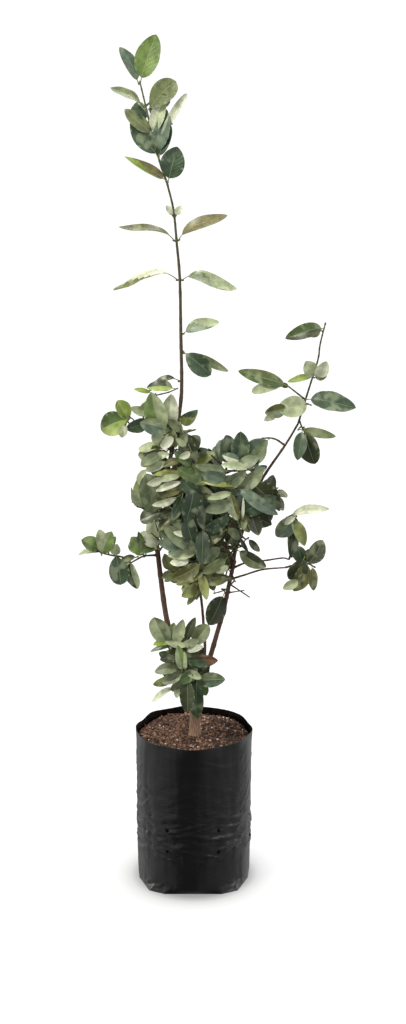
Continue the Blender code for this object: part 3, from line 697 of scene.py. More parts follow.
def tube(path: Path, radii: Sequence[float], sides: int) -> Solid:
    """Return a closed tube.

    Args:
        path: its middle line.
        radii: its radius at each point of the path.
        sides: how many sides it has.

    Returns:
        Its vertices and faces.
    """
    rings = []
    across = Vector((0.31, 0.95, 0.11))  # along no limb
    for k, (point, radius) in enumerate(zip(path, radii)):
        axis = (path[min(k + 1, len(path) - 1)] - path[max(k - 1, 0)]).normalized()
        across = square_to(across, axis)
        other = axis.cross(across)
        rings.append([point + radius * (math.cos(turn) * across + math.sin(turn) * other)
                      for turn in all_round(sides)])
    return lofted(rings)


def tapered(path: Path, foot: float, tip: float) -> list[float]:
    """Return radii that run from foot to tip along a path."""
    return [foot + (tip - foot) * at for at in lengths_along(path)]


class Draft:
    """Vertices and faces gathered for one mesh, with a material number for each face."""

    def __init__(self) -> None:
        """Start empty."""
        self.verts: list[Vector] = []
        self.faces: list[tuple[int, ...]] = []
        self.slots: list[int] = []
        self.spots: list[tuple[float, float]] = []

    def add(self, solid: Solid, slot: int | Sequence[int] = 0,
            spots: Sequence[tuple[float, float]] | None = None) -> None:
        """Add a solid.

        Args:
            solid: its vertices and faces.
            slot: the material number of all its faces or of each.
            spots: the place on the leaf of each vertex, if it is one.
        """
        verts, faces = solid
        start = len(self.verts)
        self.verts += verts
        self.faces += [tuple(start + v for v in face) for face in faces]
        self.slots += [slot] * len(faces) if isinstance(slot, int) else list(slot)
        self.spots += list(spots) if spots else [(0.5, 0.5)] * len(verts)

    def piece(self, name: str, materials: Sequence[bpy.types.Material],
              smooth: bool = True) -> bpy.types.Object:
        """Make the gathered solids into one object.

        Args:
            name: the object's name.
            materials: its materials, by their numbers.
            smooth: whether its faces are shaded smooth.

        Returns:
            The object.
        """
        mesh = bpy.data.meshes.new(name)
        mesh.from_pydata(self.verts, [], self.faces)
        for material in materials:
            mesh.materials.append(material)
        mesh.polygons.foreach_set("material_index", self.slots)
        layer = mesh.uv_layers.new(name="leaf")
        corners = np.empty(len(mesh.loops), np.int32)
        mesh.loops.foreach_get("vertex_index", corners)
        layer.data.foreach_set("uv", np.array(self.spots, np.float32)[corners].ravel())
        if smooth:
            mesh.shade_smooth()
            mesh.set_sharp_from_angle(angle=math.radians(62.0))
        mesh.update()
        made = bpy.data.objects.new(name, mesh)
        bpy.context.scene.collection.objects.link(made)
        return made


def settle(piece: bpy.types.Object, nodes: Sequence[str]) -> None:
    """Fix a piece to the plant and report it.

    Args:
        piece: the piece.
        nodes: the nodes that it stands for.
    """
    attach(piece, BODY)
    if nodes:
        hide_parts(*nodes)
    LOG.info("%s: %d faces", piece.name, len(piece.data.polygons))


# ---- tables of sizes


@dataclass(frozen=True)
class Limb:
    """A woody limb: middle points from foot to tip, radii at both ends, and what carries it."""

    name: str
    points: tuple
    foot: float
    tip: float
    carrier: str = ""


@dataclass(frozen=True)
class Paint:
    """What a leaf is coloured: a tone, and a second one where half of it differs; most second tones are
    painted, pale ones as sheen and dark ones as shade, and a few, such as a rust tip, are the leaf's own
    colour.
    """

    tone: Tone
    # mostly painted sheen and painted shade on part of the leaf; on a few leaves a real second colour
    other: Tone | None = None
    split: Split | None = None
    from_share: float = 0.5  # where a tip of another tone begins
    slant: float = 0.14

    def at(self, across: float, share: float) -> Tone:
        """Return the tone at a place on the blade.

        Args:
            across: from -1 at the right margin to 1 at the left one.
            share: from 0 at the foot to 1 at the tip.

        Returns:
            The tone.
        """
        there = {Split.LEFT: across > 0, Split.RIGHT: across < 0,
                 Split.TIP: share + self.slant * across > self.from_share}
        return self.other if self.other and there[self.split] else self.tone


@dataclass(frozen=True)
class View:
    """The camera's view, from a little above and from the front.

    A place in its frame is in pixels, from the left edge and from the top one.
    """

    eye: tuple[float, float, float] = (0.0133, -2.2, 1.12)
    pitch: float = 14.97  # degrees below level
    focal: float = 1683.0  # pixels
    middle: tuple[float, float] = (203, 512)

    def directions(self) -> tuple[Vector, Vector]:
        """Give the directions of the view.

        Returns:
            The way that it looks and the way that it has upright.
        """
        pitch = math.radians(self.pitch)
        return (Vector((0.0, math.cos(pitch), -math.sin(pitch))),
                Vector((0.0, math.sin(pitch), math.cos(pitch))))

    def point(self, across: float, down: float, back: float) -> Vector:
        """Find the point that lies at a place of the frame.

        Args:
            across: pixels from the left edge.
            down: pixels from the top edge.
            back: how far the point is behind the middle of the trunk.

        Returns:
            The point.
        """
        ahead, upright = self.directions()
        side = Vector((across - self.middle[0], 0.0, 0.0))
        ray = ahead + (side + (self.middle[1] - down) * upright) / self.focal
        return Vector(self.eye) + ray * ((back - self.eye[1]) / ray.y)

    def pixel(self, point: Vector) -> float:
        """Return how much a pixel spans at a point."""
        return (point - Vector(self.eye)).dot(self.directions()[0]) / self.focal

    def flattened(self, way: Vector) -> Vector:
        """Return what the frame shows of a direction, across and up."""
        return Vector((way.x, way.dot(self.directions()[1])))


@dataclass(frozen=True)
class Leaf:
    """A leaf as it is seen from the front: the foot of its petiole, its turn and its size.

    turn goes from +X round towards +Z, and face is how far the upper side looks from straight
    up (0) towards the front (90).
    """

    x: float
    y: float
    z: float
    turn: float
    length: float
    width: float
    face: float
    arch: float
    belly: float  # where the blade is widest


@dataclass(frozen=True)
class Sight:
    """What the camera's frame shows of a leaf: its two ends and its width, in pixels."""

    foot_across: float
    foot_down: float
    tip_across: float
    tip_down: float
    width: float
    y: float  # how far back it grows, in millimetres
    face: float = 78
    arch: float = 0.07
    belly: float = 0.46
    petiole: float = 0.13  # the hidden foot of the leaf, as a share of what shows
    least_shown: float = 0.35  # of the width of a blade that is seen edge on

    def leaf(self, view: View) -> Leaf:
        """Work out the real leaf, to whole millimetres and degrees.

        Args:
            view: the view that shows it.

        Returns:
            The leaf.
        """
        foot = view.point(self.foot_across, self.foot_down, self.y * MM)
        way = view.point(self.tip_across, self.tip_down, self.y * MM) - foot
        foot -= self.petiole * way
        way *= 1 + self.petiole
        along = way.normalized()
        line = view.flattened(along)
        across = view.flattened(upper_way(self.face, along).cross(along))
        shown = abs(line.x * across.y - line.y * across.x) / line.length
        width = self.width * view.pixel(foot + way / 2) / max(shown, self.least_shown)
        x, y, z, length, width = (round(size / MM) for size in (*foot, way.length, width))
        turn = round(math.degrees(math.atan2(way.z, way.x)))
        return Leaf(x, y, z, turn, length, width, self.face, self.arch, self.belly)


@dataclass(frozen=True)
class Mass:
    """A mass of leaves on one stem that grows from a limb, in a space of its own.

    leaves are the ones that stand to the front: groups of a paint and leaves, or the numbers of
    their Sights.
    lean is the least and the most that they lean away from the front, as shares of their length,
    and roll is how far they turn about their midribs at most, in degrees.
    tiers is the number of pairs of side shoots that the seeded rule adds to the stem, heart and
    reach are the middle and the radius of the space that they keep to, and palette is what the
    tones of its seeded leaves are dealt from, a spray at a time.
    """

    name: str
    limb: str
    stem: tuple
    twigs: tuple = ()
    leaves: tuple = ()
    tiers: int = 0
    heart: tuple = ()
    reach: float = 0
    leaf: float = 36
    seed: int = 1
    palette: tuple = (Tone.MID,)
    shy: bool = False  # whether its seeded leaves stay behind the listed ones
    lean: tuple[float, float] = (-0.42, 0.10)
    roll: float = 30


BRIGHT, LIME, WILLOW, OLIVE, BRONZE, KHAKI, MID, SAGE, BLUE, DEEP, SHADE, FOREST, PALE, SILVER, RUST = Tone
LEFT, RIGHT, TIP = Split
UPRIGHT = (-0.15, 0.05)  # the lean of leaves that hardly lean
FORWARD = (-0.22, -0.10)
BACK = (0.10, 0.20)

LIMBS = (
    Limb("leader", ((-4, -1, 258.3), (-14, -2, 303), (-24, -4, 328), (-37, -6, 384), (-47, -8, 466),
         (-50, -8, 516), (-40, -6, 564), (-28, -4, 619), (-20, -2, 656), (-16, 0, 686), (-15, 2, 712),
         (-16, 4, 779), (-17, 4, 845), (-21, 3, 895), (-25, 2, 936), (-33, 0, 970)), 4.3, 1.5),
    Limb("middle_stem", ((2, 6, 258.3), (12, 9, 294), (16, 12, 330), (14, 14, 367), (11, 15, 402),
         (5, 15, 445), (2, 14, 488)), 2.4, 1.7),
    Limb("right_stem", ((8, -1, 258.3), (19, -3, 309), (28, -5, 343), (42, -8, 397), (49, -9, 433),
         (54, -10, 458), (57, -10, 481), (65, -9, 502), (77, -8, 539), (92, -7, 578), (124, -8, 628),
         (140, -8, 656)), 4.1, 1.5),
    Limb("inner_bough", ((57, -10, 488), (46, -6, 505), (40, 2, 540), (40, 8, 572)), 2.0, 1.4,
         "right_stem"),
    Limb("upper_left_bough", ((-43, -6, 558), (-48, -13, 600), (-45, -18, 635), (-54, -20, 655)), 2.2, 1.5,
         "leader"),
    Limb("left_bough", ((-48, -8, 472), (-65, -14, 474), (-74, -20, 472), (-84, -24, 467)), 1.6, 1.2,
         "leader"),
    Limb("right_bough_upper", ((56, -10, 456), (73, -18, 466), (98, -22, 470), (121, -24, 474),
         (129, -25, 472)), 1.5, 1.2, "right_stem"),
    Limb("right_bough_lower", ((51, -9, 438), (70, -20, 449), (94, -28, 459), (124, -32, 463)), 1.6, 1.2,
         "right_stem"),
    Limb("short_twig_upper", ((50, -9, 432), (62, -22, 428), (77, -30, 420)), 1.3, 1.0, "right_stem"),
    Limb("short_twig_lower", ((46, -8, 420), (60, -12, 423), (70, -14, 425)), 1.2, 0.9, "right_stem"),
    Limb("back_left_bough", ((-47, -8, 470), (-52, 8, 492), (-54, 26, 510)), 1.9, 1.4, "leader"),
    Limb("back_right_bough", ((56, -10, 470), (62, 8, 490), (64, 26, 506)), 1.9, 1.4, "right_stem"),
)

# The single leaves up the leader: the name, the paint and the numbers of the Sight.
LEADER_LEAVES = (
    ("leader_leaf_bud_left", SILVER, (174, 219, 167, 209, 7.5, 0, 60, 0.07, 0.46, 0)),
    ("leader_leaf_bud_right", SILVER, (174, 219, 179.5, 209, 7.5, 0, 60, 0.07, 0.46, 0)),
    ("leader_leaf_upper_left", OLIVE, (177, 241, 120.5, 226.5, 9, 0, 26, 0.12, 0.46, 0)),
    ("leader_leaf_upper_right", BRONZE, (178, 241, 226.5, 215, 12, 0, 36, 0.13, 0.46, 0)),
    ("leader_leaf_middle_left", Paint(SILVER, OLIVE, TIP),
     (179, 279, 113.5, 287.5, 10, 0, 24, 0.17, 0.46, 0)),
    ("leader_leaf_middle_right", Paint(SAGE, PALE, TIP), (180, 279, 235.5, 288, 12, 0, 38, 0.21, 0.46, 0)),
    ("leader_leaf_lower_right", Paint(BLUE, PALE, TIP), (182, 336, 218, 323.5, 13, 0, 54, 0.14, 0.46, 0)),
    ("leader_leaf_dark", DEEP, (183, 351, 211, 375, 20, 0, 78, 0.07, 0.56, 0)),
    ("leader_leaf_grey", KHAKI, (183, 352, 228.5, 370, 9, 2, 50, 0.07, 0.46, 0)),
    ("leader_leaf_arched", FOREST, (181, 380, 149, 391, 7.5, 0, 44, 0.26, 0.46, 0)),
    ("leader_leaf_pointed", Paint(WILLOW, DEEP, TIP), (181, 427, 199.5, 412.5, 13, -4, 70, 0.07, 0.36, 0)),
)
LEANING_BACK = ("leader_leaf_grey",)

MASSES = (
    Mass("leader_tip_tuft", "leader", ((-33, 0, 970), (-42, -1, 996), (-52, -3, 1034), (-58, -4, 1060),
         (-66, -6, 1094)),
         leaves=((BRIGHT, (140, 84, 155.5, 35, 25, -5, 78, 0.05, 0.46, 0)),
         (BLUE, (139, 84, 120.5, 46.5, 13, -4, 62, 0.07, 0.46, 0),
         (158, 154, 166.5, 108, 16, -3, 78, 0.07, 0.46, 0)),
         (KHAKI, (143, 106, 110.5, 86.5, 11, -4, 42, 0.09, 0.46, 0),
         (146, 111, 175, 81, 23, -4, 78, 0.07, 0.6, 0),
         (152, 134, 124.5, 107.5, 14, -4, 60, 0.07, 0.46, 0)),
         (Paint(PALE, SILVER, LEFT), (153, 136, 164, 100, 15, -3, 70, 0.07, 0.46, 0)),
         (SILVER, (157, 148, 188, 94, 8, 0, 62, 0.07, 0.62, 0)),
         (DEEP, (160, 158, 171, 124, 16, -1, 78, 0.07, 0.46, 0),
         (159, 159, 133, 113, 21, -3, 78, 0.07, 0.46, 0), (147, 121, 135, 103, 9, -2, 70, 0.07, 0.46, 0),
         (168, 182, 178, 147, 24, -2, 78, 0.07, 0.46, 0)),
         (Paint(BRONZE, LIME, TIP), (167, 182, 124, 156, 10, -2, 48, 0.06, 0.35, 0))),
         tiers=5, heart=(-50, 2, 1040), reach=52, leaf=28, seed=31, palette=(DEEP, BLUE, MID), shy=True,
         lean=UPRIGHT, roll=12),
    Mass("right_bough_shoot", "right_stem", ((140, -8, 656), (149, -9, 688), (158, -10, 719),
         (165, -10, 744), (167, -10, 762), (173, -10, 788)),
         twigs=(((149, -9, 688), (136, -14, 699), (124, -18, 709)), ((142, -8, 661), (144, -14, 653),
         (147, -20, 648))),
         leaves=((Paint(MID, FOREST, LEFT), (323, 328, 284.5, 337.5, 15, -10, 64, 0.24, 0.46, 0)),
         (Paint(PALE, KHAKI, LEFT), (322, 331, 303.5, 334, 12, -10, 70, 0.07, 0.46, 0)),
         (PALE, (314, 378, 305, 361.5, 16, -12, 78, 0.07, 0.46, 0),
         (280, 387, 252, 392, 10, -19, 60, 0.07, 0.62), (306, 405, 277, 409, 21, -12)),
         (SILVER, (314, 378, 326.5, 362, 13, -12, 78, 0.07, 0.46, 0), (276, 414, 263.5, 421, 7.5, -22)),
         (LIME, (314, 376, 287.5, 380, 7, -10, 55, 0.18, 0.46, 0)),
         (OLIVE, (314, 377, 327.5, 374.5, 8.5, -10, 66, 0.07, 0.46, 0), (289, 386, 280.5, 383, 5, -17, 60)),
         (Paint(KHAKI, MID, LEFT), (288, 387, 237, 371, 14, -17, 64, 0.1, 0.46, 0)),
         (DEEP, (307, 401, 357.5, 408.5, 20, -10, 72, 0.14, 0.46, 0), (303, 431, 298, 458.5, 13.5, -16)),
         (Paint(SAGE, OLIVE, RIGHT), (285, 407, 265, 413, 14, -20)),
         (FOREST, (305, 431, 315, 464, 21, -18, 78, 0.07, 0.52)),
         (KHAKI, (303, 430, 336.5, 436.5, 9.5, -14, 62, 0.1))),
         tiers=4, heart=(158, 4, 715), reach=52, leaf=28, seed=39, palette=(DEEP, MID, SAGE), shy=True),
    Mass("right_bough_side_leaf", "right_stem", ((122, -8, 625), (108, -12, 636), (94, -14, 637)),
         leaves=((Paint(SAGE, BLUE, RIGHT), (269, 440, 246.5, 459, 19, -14, 78, 0.07, 0.52)),),
         lean=UPRIGHT, roll=12),
    Mass("right_spray_upper", "right_bough_upper", ((129, -25, 472), (134, -26, 489), (134, -26, 514),
         (135, -26, 535)),
         leaves=((SILVER, (293, 516.5, 330, 508, 9.5, -26, 66, 0.1), (295, 517.5, 284, 525, 6, -34)),
         (Paint(BLUE, SAGE, RIGHT), (294, 517, 276, 536, 18, -28)),
         (WILLOW, (292, 519, 305, 546, 13, -28, 78, 0.12)), (FOREST, (289, 528, 292, 558, 11, -26)),
         (DEEP, (298, 546, 303, 562, 14, -28))),
         tiers=3, heart=(134, -18, 514), reach=30, leaf=26, seed=37, palette=(DEEP, MID), shy=True),
    Mass("right_spray_lower", "right_bough_lower", ((124, -32, 463), (141, -33, 468), (155, -34, 469),
         (162, -34, 465)),
         leaves=((FOREST, (309, 563, 323, 540.5, 17, -34, 78, 0.07, 0.52), (303, 559, 289, 580, 17, -36)),
         (OLIVE, (306, 564, 294, 592, 17, -34), (312, 568, 314.5, 591, 10, -34)),
         (PALE, (298, 580, 283.5, 588.5, 10, -40))),
         tiers=3, heart=(155, -26, 469), reach=30, leaf=26, seed=38, palette=(DEEP, FOREST), shy=True),
    Mass("left_spray_inner", "leader", ((-48, -10, 486), (-56, -16, 485), (-63, -22, 485)),
         leaves=((SILVER, (157, 546, 141, 532, 14, -24)),
         (Paint(MID, PALE, RIGHT), (157, 549, 128.5, 545, 18, -26, 78, 0.07, 0.6)),
         (Paint(KHAKI, BRIGHT, LEFT), (143, 554, 131, 537, 15, -28)),
         (MID, (141, 549, 138.5, 531.5, 7, -30))),
         tiers=3, heart=(-56, -8, 485), reach=26, leaf=24, seed=35, palette=(MID, BRIGHT), shy=True),
    Mass("left_spray_outer", "left_bough", ((-84, -24, 467), (-96, -26, 476), (-113, -27, 479),
         (-129, -28, 485)),
         leaves=((Paint(MID, BRIGHT, RIGHT), (97, 549, 81, 539.5, 14, -28)),
         (PALE, (103, 552, 98, 530.5, 13, -28), (98, 552, 77.5, 553.5, 7.5, -30, 55),
         (114, 555, 117, 545, 10, -28)), (Paint(BRIGHT, PALE, LEFT), (103, 552, 112, 531.5, 16, -30)),
         (SAGE, (106, 553, 115, 538, 9, -26)), (DEEP, (116, 556, 120, 585.5, 21, -26, 78, 0.07, 0.55)),
         (Paint(PALE, FOREST, RIGHT), (131, 562, 137.5, 589, 13.5, -24)),
         (OLIVE, (135, 557.5, 121, 560, 6.5, -26, 70)), (PALE, (129, 561, 117, 567, 8, -30))),
         tiers=3, heart=(-113, -19, 479), reach=28, leaf=24, seed=36, palette=(MID, DEEP), shy=True),
    Mass("lone_dark_leaf", "right_stem", ((46, -10, 424), (44, -15, 428), (40, -18, 428)),
         leaves=((FOREST, (223, 596, 209, 625, 20, -20)),),
         lean=UPRIGHT, roll=12),
    Mass("fork_leaves", "right_stem", ((60, -11, 490), (66, -20, 489), (70, -24, 488)),
         leaves=((Paint(KHAKI, FOREST, LEFT), (240, 551, 266.5, 567, 14, -26, 72)),
         (FOREST, (249, 540, 260, 552, 7.5, -22, 72), (240, 538, 248, 552, 4.5, -22, 72))),
         lean=UPRIGHT, roll=12),
    Mass("base_tuft_upper", "leader", ((-13, -4, 301), (-19, -16, 318), (-29, -21, 336), (-36, -23, 354)),
         twigs=(((-22, -17, 324), (-14, -21, 340), (-7, -21, 350)),),
         leaves=((Paint(SAGE, PALE, LEFT), (167, 642, 154.5, 617, 20, -32, 78, 0.07, 0.55)),
         (Paint(BRIGHT, PALE, LEFT), (182, 669, 178, 646, 11, -40)), (PALE, (166, 642, 174, 622.5, 12, -34),
         (176, 642, 183, 619.5, 12, -34), (187, 646, 165, 641, 7, -40, 62),
         (182, 645, 199, 640.5, 8, -40, 62), (185, 668, 184, 652, 8.5, -42)),
         (FOREST, (187, 641, 195, 617.5, 8.5, -28), (181, 652, 160, 660, 13, -34),
         (186, 678, 171, 664, 15, -13, 78, 0.07, 0.46, 0), (194, 680, 208, 664, 15, -10, 78, 0.07, 0.46, 0),
         (190, 660, 204, 648, 15, -9, 78, 0.07, 0.46, 0)),
         (Paint(KHAKI, SAGE, RIGHT), (195, 646, 208.5, 625, 16, -30, 78, 0.07, 0.55)),
         (MID, (177, 662, 163, 652.5, 9, -38), (188, 652, 173, 634, 17, -16, 78, 0.07, 0.46, 0),
         (186, 679, 161, 668, 15, -16, 78, 0.07, 0.46, 0),
         (196, 666, 186, 650, 14, -12, 78, 0.07, 0.46, 0)), (LIME, (171, 643, 153, 645, 8, -34, 62)),
         (SAGE, (176, 645, 150, 651.5, 6, -32, 50), (179, 667, 155.5, 671, 12, -38, 72)),
         (SILVER, (187, 651, 203, 646, 8, -38, 64)),
         (DEEP, (196, 690, 192, 671, 17, -12, 78, 0.07, 0.46, 0),
         (188, 664, 182, 644, 17, -10, 78, 0.07, 0.46, 0), (198, 674, 181, 663, 15, -12, 78, 0.07, 0.46, 0),
         (184, 668, 159, 653, 14, -14, 78, 0.07, 0.46, 0))),
         tiers=3, heart=(-22, -8, 322), reach=38, leaf=30, seed=32, palette=(MID, SAGE, FOREST), shy=True),
    Mass("base_tuft_lower", "trunk", ((0, -8, 240), (-5, -18, 262), (-10, -23, 284), (-13, -25, 304)),
         twigs=(((-7, -20, 270), (4, -22, 280), (12, -23, 291)), ((-6, -19, 266), (4, -25, 272),
         (8, -27, 274))),
         leaves=((Paint(DEEP, RUST, TIP), (188, 660, 217.5, 661, 14, -30)),
         (SAGE, (185, 681, 197, 668, 10, -38), (184, 673, 162, 683, 12, -36),
         (180, 680, 172, 692, 10, -36)), (PALE, (186, 671, 202, 679, 8, -40, 68),
         (181, 687, 176, 698, 7, -34)), (Paint(SAGE, DEEP, RIGHT), (199, 680, 225.5, 679, 15, -28)),
         (MID, (199, 680, 206, 695.5, 10, -32), (192, 672, 180, 684, 12, -40)),
         (Paint(OLIVE, LIME, RIGHT), (172, 676, 153, 685.5, 8.5, -32, 66)),
         (SILVER, (174, 689, 151, 702, 6.5, -26, 58, 0.14)), (FOREST, (188, 679, 187, 713, 15, -38)),
         (DEEP, (197, 682, 197, 720, 15, -36))),
         tiers=3, heart=(-4, -12, 284), reach=34, leaf=30, seed=33, palette=(MID, DEEP, FOREST), shy=True),
    Mass("upper_left_spray", "upper_left_bough", ((-54, -20, 655), (-60, -21, 661), (-72, -23, 661),
         (-87, -22, 654)),
         twigs=(((-58, -21, 659), (-50, -24, 678), (-49, -25, 697)),),
         leaves=((Paint(LIME, MID, RIGHT), (127, 419, 100.5, 430, 25, -24, 78, 0.07, 0.52)),
         (LIME, (127, 420, 117, 400.5, 15, -22, 78, 0.07, 0.55), (150, 393, 134.5, 389.5, 5, -20, 60)),
         (SILVER, (125, 425, 121, 437.5, 9, -34)), (DEEP, (148, 420, 126.5, 429, 14, -24)),
         (PALE, (152, 413, 130.5, 409, 10, -26, 70)),
         (Paint(BRIGHT, PALE, RIGHT), (159, 431, 151, 392.5, 23, -28)),
         (Paint(PALE, SILVER, RIGHT), (168, 429, 171.5, 394, 18, -24)),
         (Paint(BLUE, PALE, RIGHT), (166, 428, 140, 423, 16, -34, 72)),
         (KHAKI, (182, 431, 167, 420, 10, -26, 72)),
         (Paint(LIME, FOREST, RIGHT), (173, 388.5, 146.5, 387, 14, -22, 70)),
         (MID, (160, 432, 176, 424, 9, -32, 70))),
         tiers=3, heart=(-62, -10, 662), reach=34, leaf=28, seed=34, palette=(MID, SAGE, BRIGHT), shy=True),
    Mass("crown_neck", "leader", ((-30, -6, 606), (-30, -20, 622), (-30, -27, 640)),
         twigs=(((-30, -22, 628), (-22, -22, 640), (-16, -20, 650)),),
         leaves=((FOREST, (182, 429, 193, 465, 18, -26, 78, 0.07, 0.6)),
         (SILVER, (173, 437, 160, 449.5, 10, -34), (190, 452, 179, 458, 6.5, -46, 70)),
         (SAGE, (161, 455, 142, 464, 11, -34, 70), (180, 447, 186.5, 433, 9, -34)),
         (PALE, (169, 454, 150, 459, 8, -38, 60), (166, 463, 145, 471, 10, -40, 65),
         (186, 446, 176, 438, 7, -38)), (WILLOW, (176, 473, 154, 475, 8, -44, 60)),
         (OLIVE, (181, 461, 163, 467, 8, -42, 65)), (KHAKI, (176, 449, 172, 430, 10, -32)),
         (MID, (190, 466, 174, 452, 10, -44))),
         tiers=4, heart=(-32, -18, 624), reach=46, leaf=34, seed=3,
         palette=(PALE, OLIVE, SAGE, FOREST, WILLOW)),
    Mass("crown_left", "leader", ((-51, -10, 520), (-56, -24, 538), (-56, -36, 562)),
         twigs=(((-56, -26, 548), (-50, -34, 566), (-42, -38, 582)), ((-55, -22, 534), (-48, -28, 534),
         (-42, -30, 533))),
         leaves=((SAGE, (153, 512, 146, 474, 26, -44, 78, 0.07, 0.55), (159, 500, 152, 480, 10.5, -50)),
         (FOREST, (167, 513, 140, 520, 15, -46, 78, 0.07, 0.6), (176, 512, 158, 517, 9, -50, 70)),
         (SILVER, (181, 483, 155, 491, 7.5, -56, 70), (177, 497, 152, 506, 6.5, -56, 70),
         (163, 478, 147, 485, 8, -50)), (PALE, (179, 477, 157, 482, 6.5, -54, 70)),
         (OLIVE, (181, 491, 160, 499, 7, -56, 70), (172, 518, 159, 530, 10, -46)),
         (WILLOW, (184, 473, 162, 475, 7, -52, 70))),
         tiers=3, heart=(-44, -28, 560), reach=44, leaf=40, seed=5, palette=(SAGE, PALE, FOREST, WILLOW)),
    Mass("crown_mid_left", "leader", ((-49, -10, 478), (-38, -24, 494), (-26, -34, 512)),
         leaves=((SAGE, (189, 548, 164, 526, 15, -54), (194, 531, 169, 521, 9.5, -54, 70),
         (195, 552, 191, 540, 7, -58), (172, 536, 159, 531, 10, -46)),
         (SILVER, (187, 534, 174, 532, 6, -60, 70)), (BLUE, (181, 546, 158, 541, 13, -50)),
         (PALE, (195, 554, 167, 555, 12, -52, 70))),
         tiers=5, heart=(-22, -30, 512), reach=46, leaf=40, seed=61, palette=(SAGE, BLUE, FOREST, PALE)),
    Mass("crown_centre", "middle_stem", ((2, 14, 488), (4, -2, 508), (8, -22, 530), (10, -36, 552)),
         leaves=((SHADE, (193, 489, 187, 523, 18, -58), (201, 497, 206, 531, 16, -56),
         (186, 513, 196, 549, 16, -54), (203, 531, 202, 565, 15, -52), (216, 540, 218, 516, 12, -50)),
         (DEEP, (182, 496, 172, 521, 11, -58), (205, 530, 229, 517, 13, -56)),
         (SAGE, (232, 503, 206, 511, 14, -56)), (OLIVE, (225, 531, 204, 546, 12, -52))),
         tiers=6, heart=(8, -34, 552), reach=48, leaf=40, seed=7, palette=(FOREST, DEEP, SHADE)),
    Mass("crown_top", "leader", ((-38, -9, 568), (-22, -20, 584), (-4, -24, 600)),
         leaves=((SAGE, (225, 471, 195, 466, 10, -48, 62), (224, 487, 246, 472, 13, -50, 72),
         (238, 487, 264, 469, 15, -46), (216, 504, 197, 486, 13, -54)),
         (PALE, (247, 469, 221, 464, 9, -46, 62), (230, 493, 207, 499, 7.5, -58, 70)),
         (MID, (203, 480, 177, 468, 14, -52, 72), (214, 479, 190, 463.5, 9, -44, 60)),
         (BLUE, (229, 481, 201, 474, 12, -52, 70)), (WILLOW, (233, 487, 204, 482, 7, -56, 62)),
         (BRIGHT, (245, 488, 257, 479, 7.5, -52, 72)), (SILVER, (223, 500, 212, 494, 4.5, -60, 70)),
         (DEEP, (201, 495, 181, 480, 13, -54)), (FOREST, (236, 478, 214, 486, 9, -54, 60))),
         tiers=6, heart=(-4, -22, 592), reach=48, leaf=38, seed=9, palette=(SAGE, BLUE, WILLOW, FOREST)),
    Mass("crown_mid_right", "right_stem", ((56, -12, 468), (46, -26, 486), (38, -34, 502)),
         tiers=5, heart=(38, -32, 506), reach=42, leaf=38, seed=10, palette=(SAGE, FOREST, OLIVE, SAGE)),
    Mass("crown_right", "right_stem", ((65, -10, 504), (60, -24, 522), (58, -38, 546)),
         leaves=((BLUE, (240, 490, 278.5, 514.5, 13, -50, 64, 0.2), (231, 496, 248, 478, 11, -52)),
         (DEEP, (241, 513, 276, 497, 18, -44)), (OLIVE, (240, 512, 249, 533, 13, -46)),
         (Paint(PALE, OLIVE, LEFT), (231, 494, 238, 521, 13, -58)),
         (SILVER, (243, 518, 243, 498, 3, -60, 70)), (KHAKI, (244, 515, 243, 530, 7, -56)),
         (SAGE, (226, 530, 239, 540, 9, -48, 72))),
         tiers=5, heart=(58, -36, 560), reach=48, leaf=42, seed=11, palette=(SAGE, DEEP, BLUE, PALE)),
    Mass("crown_right_outer", "right_stem", ((84, -8, 556), (92, -12, 556), (97, -14, 552)),
         leaves=((FOREST, (254, 484, 280.5, 508, 25, -32), (244, 508, 271, 525, 19, -40),
         (250, 513, 259, 535.5, 15, -42)),),
         tiers=3, heart=(94, -10, 550), reach=38, seed=13, palette=(FOREST, OLIVE)),
    Mass("crown_upper", "inner_bough", ((40, 8, 572), (44, 2, 590), (48, -2, 606)),
         twigs=(((42, 3, 594), (52, -2, 602), (60, -4, 611)),),
         leaves=((DEEP, (237, 462, 241, 432, 17, -14, 78, 0.07, 0.52), (251, 475, 267, 466, 9, -34)),
         (Paint(SILVER, BLUE, RIGHT), (239, 461, 222, 455, 10, -30)), (SAGE, (239, 468, 260, 456, 12, -30),
         (252, 462, 266, 443, 14, -22))),
         tiers=3, heart=(50, -4, 600), reach=40, seed=17, palette=(DEEP, SAGE, BLUE)),
    Mass("crown_low", "middle_stem", ((8, 13, 424), (2, 0, 440), (-4, -14, 456), (-6, -24, 470)),
         twigs=(((0, -4, 444), (4, -8, 432), (6, -10, 424)),),
         leaves=((SILVER, (189, 562, 170, 563, 9, -54, 70)), (OLIVE, (199, 565, 171, 580, 16, -50),
         (203, 574, 176, 585, 12, -52), (197, 580, 197, 600, 9, -48), (227, 578, 203, 583, 9, -46, 70)),
         (WILLOW, (200, 583, 181, 597, 13, -48), (200, 574, 207, 600, 10, -48)),
         (KHAKI, (198, 589, 187.5, 605, 7, -46), (225, 559, 203, 573, 12, -48)),
         (PALE, (228, 566, 216, 573, 6.5, -52, 72)), (SAGE, (220, 548, 201, 563, 12, -50))),
         tiers=4, heart=(-3, -18, 460), reach=44, leaf=38, seed=19, palette=(SAGE, WILLOW, OLIVE, FOREST)),
    Mass("crown_low_right", "middle_stem", ((6, 14, 440), (16, 6, 456), (26, -2, 470)),
         leaves=((KHAKI, (232, 580, 209, 576, 8, -36, 70)), (OLIVE, (214, 590, 206, 568, 10, -38))),
         tiers=3, heart=(28, 0, 466), reach=36, leaf=34, seed=23, palette=(OLIVE, MID, PALE)),
    Mass("crown_back", "middle_stem", ((3, 16, 470), (2, 32, 492), (2, 46, 514), (0, 52, 532)),
         tiers=3, heart=(0, 48, 532), reach=48, leaf=42, seed=29, palette=(MID, DEEP, SAGE, FOREST)),
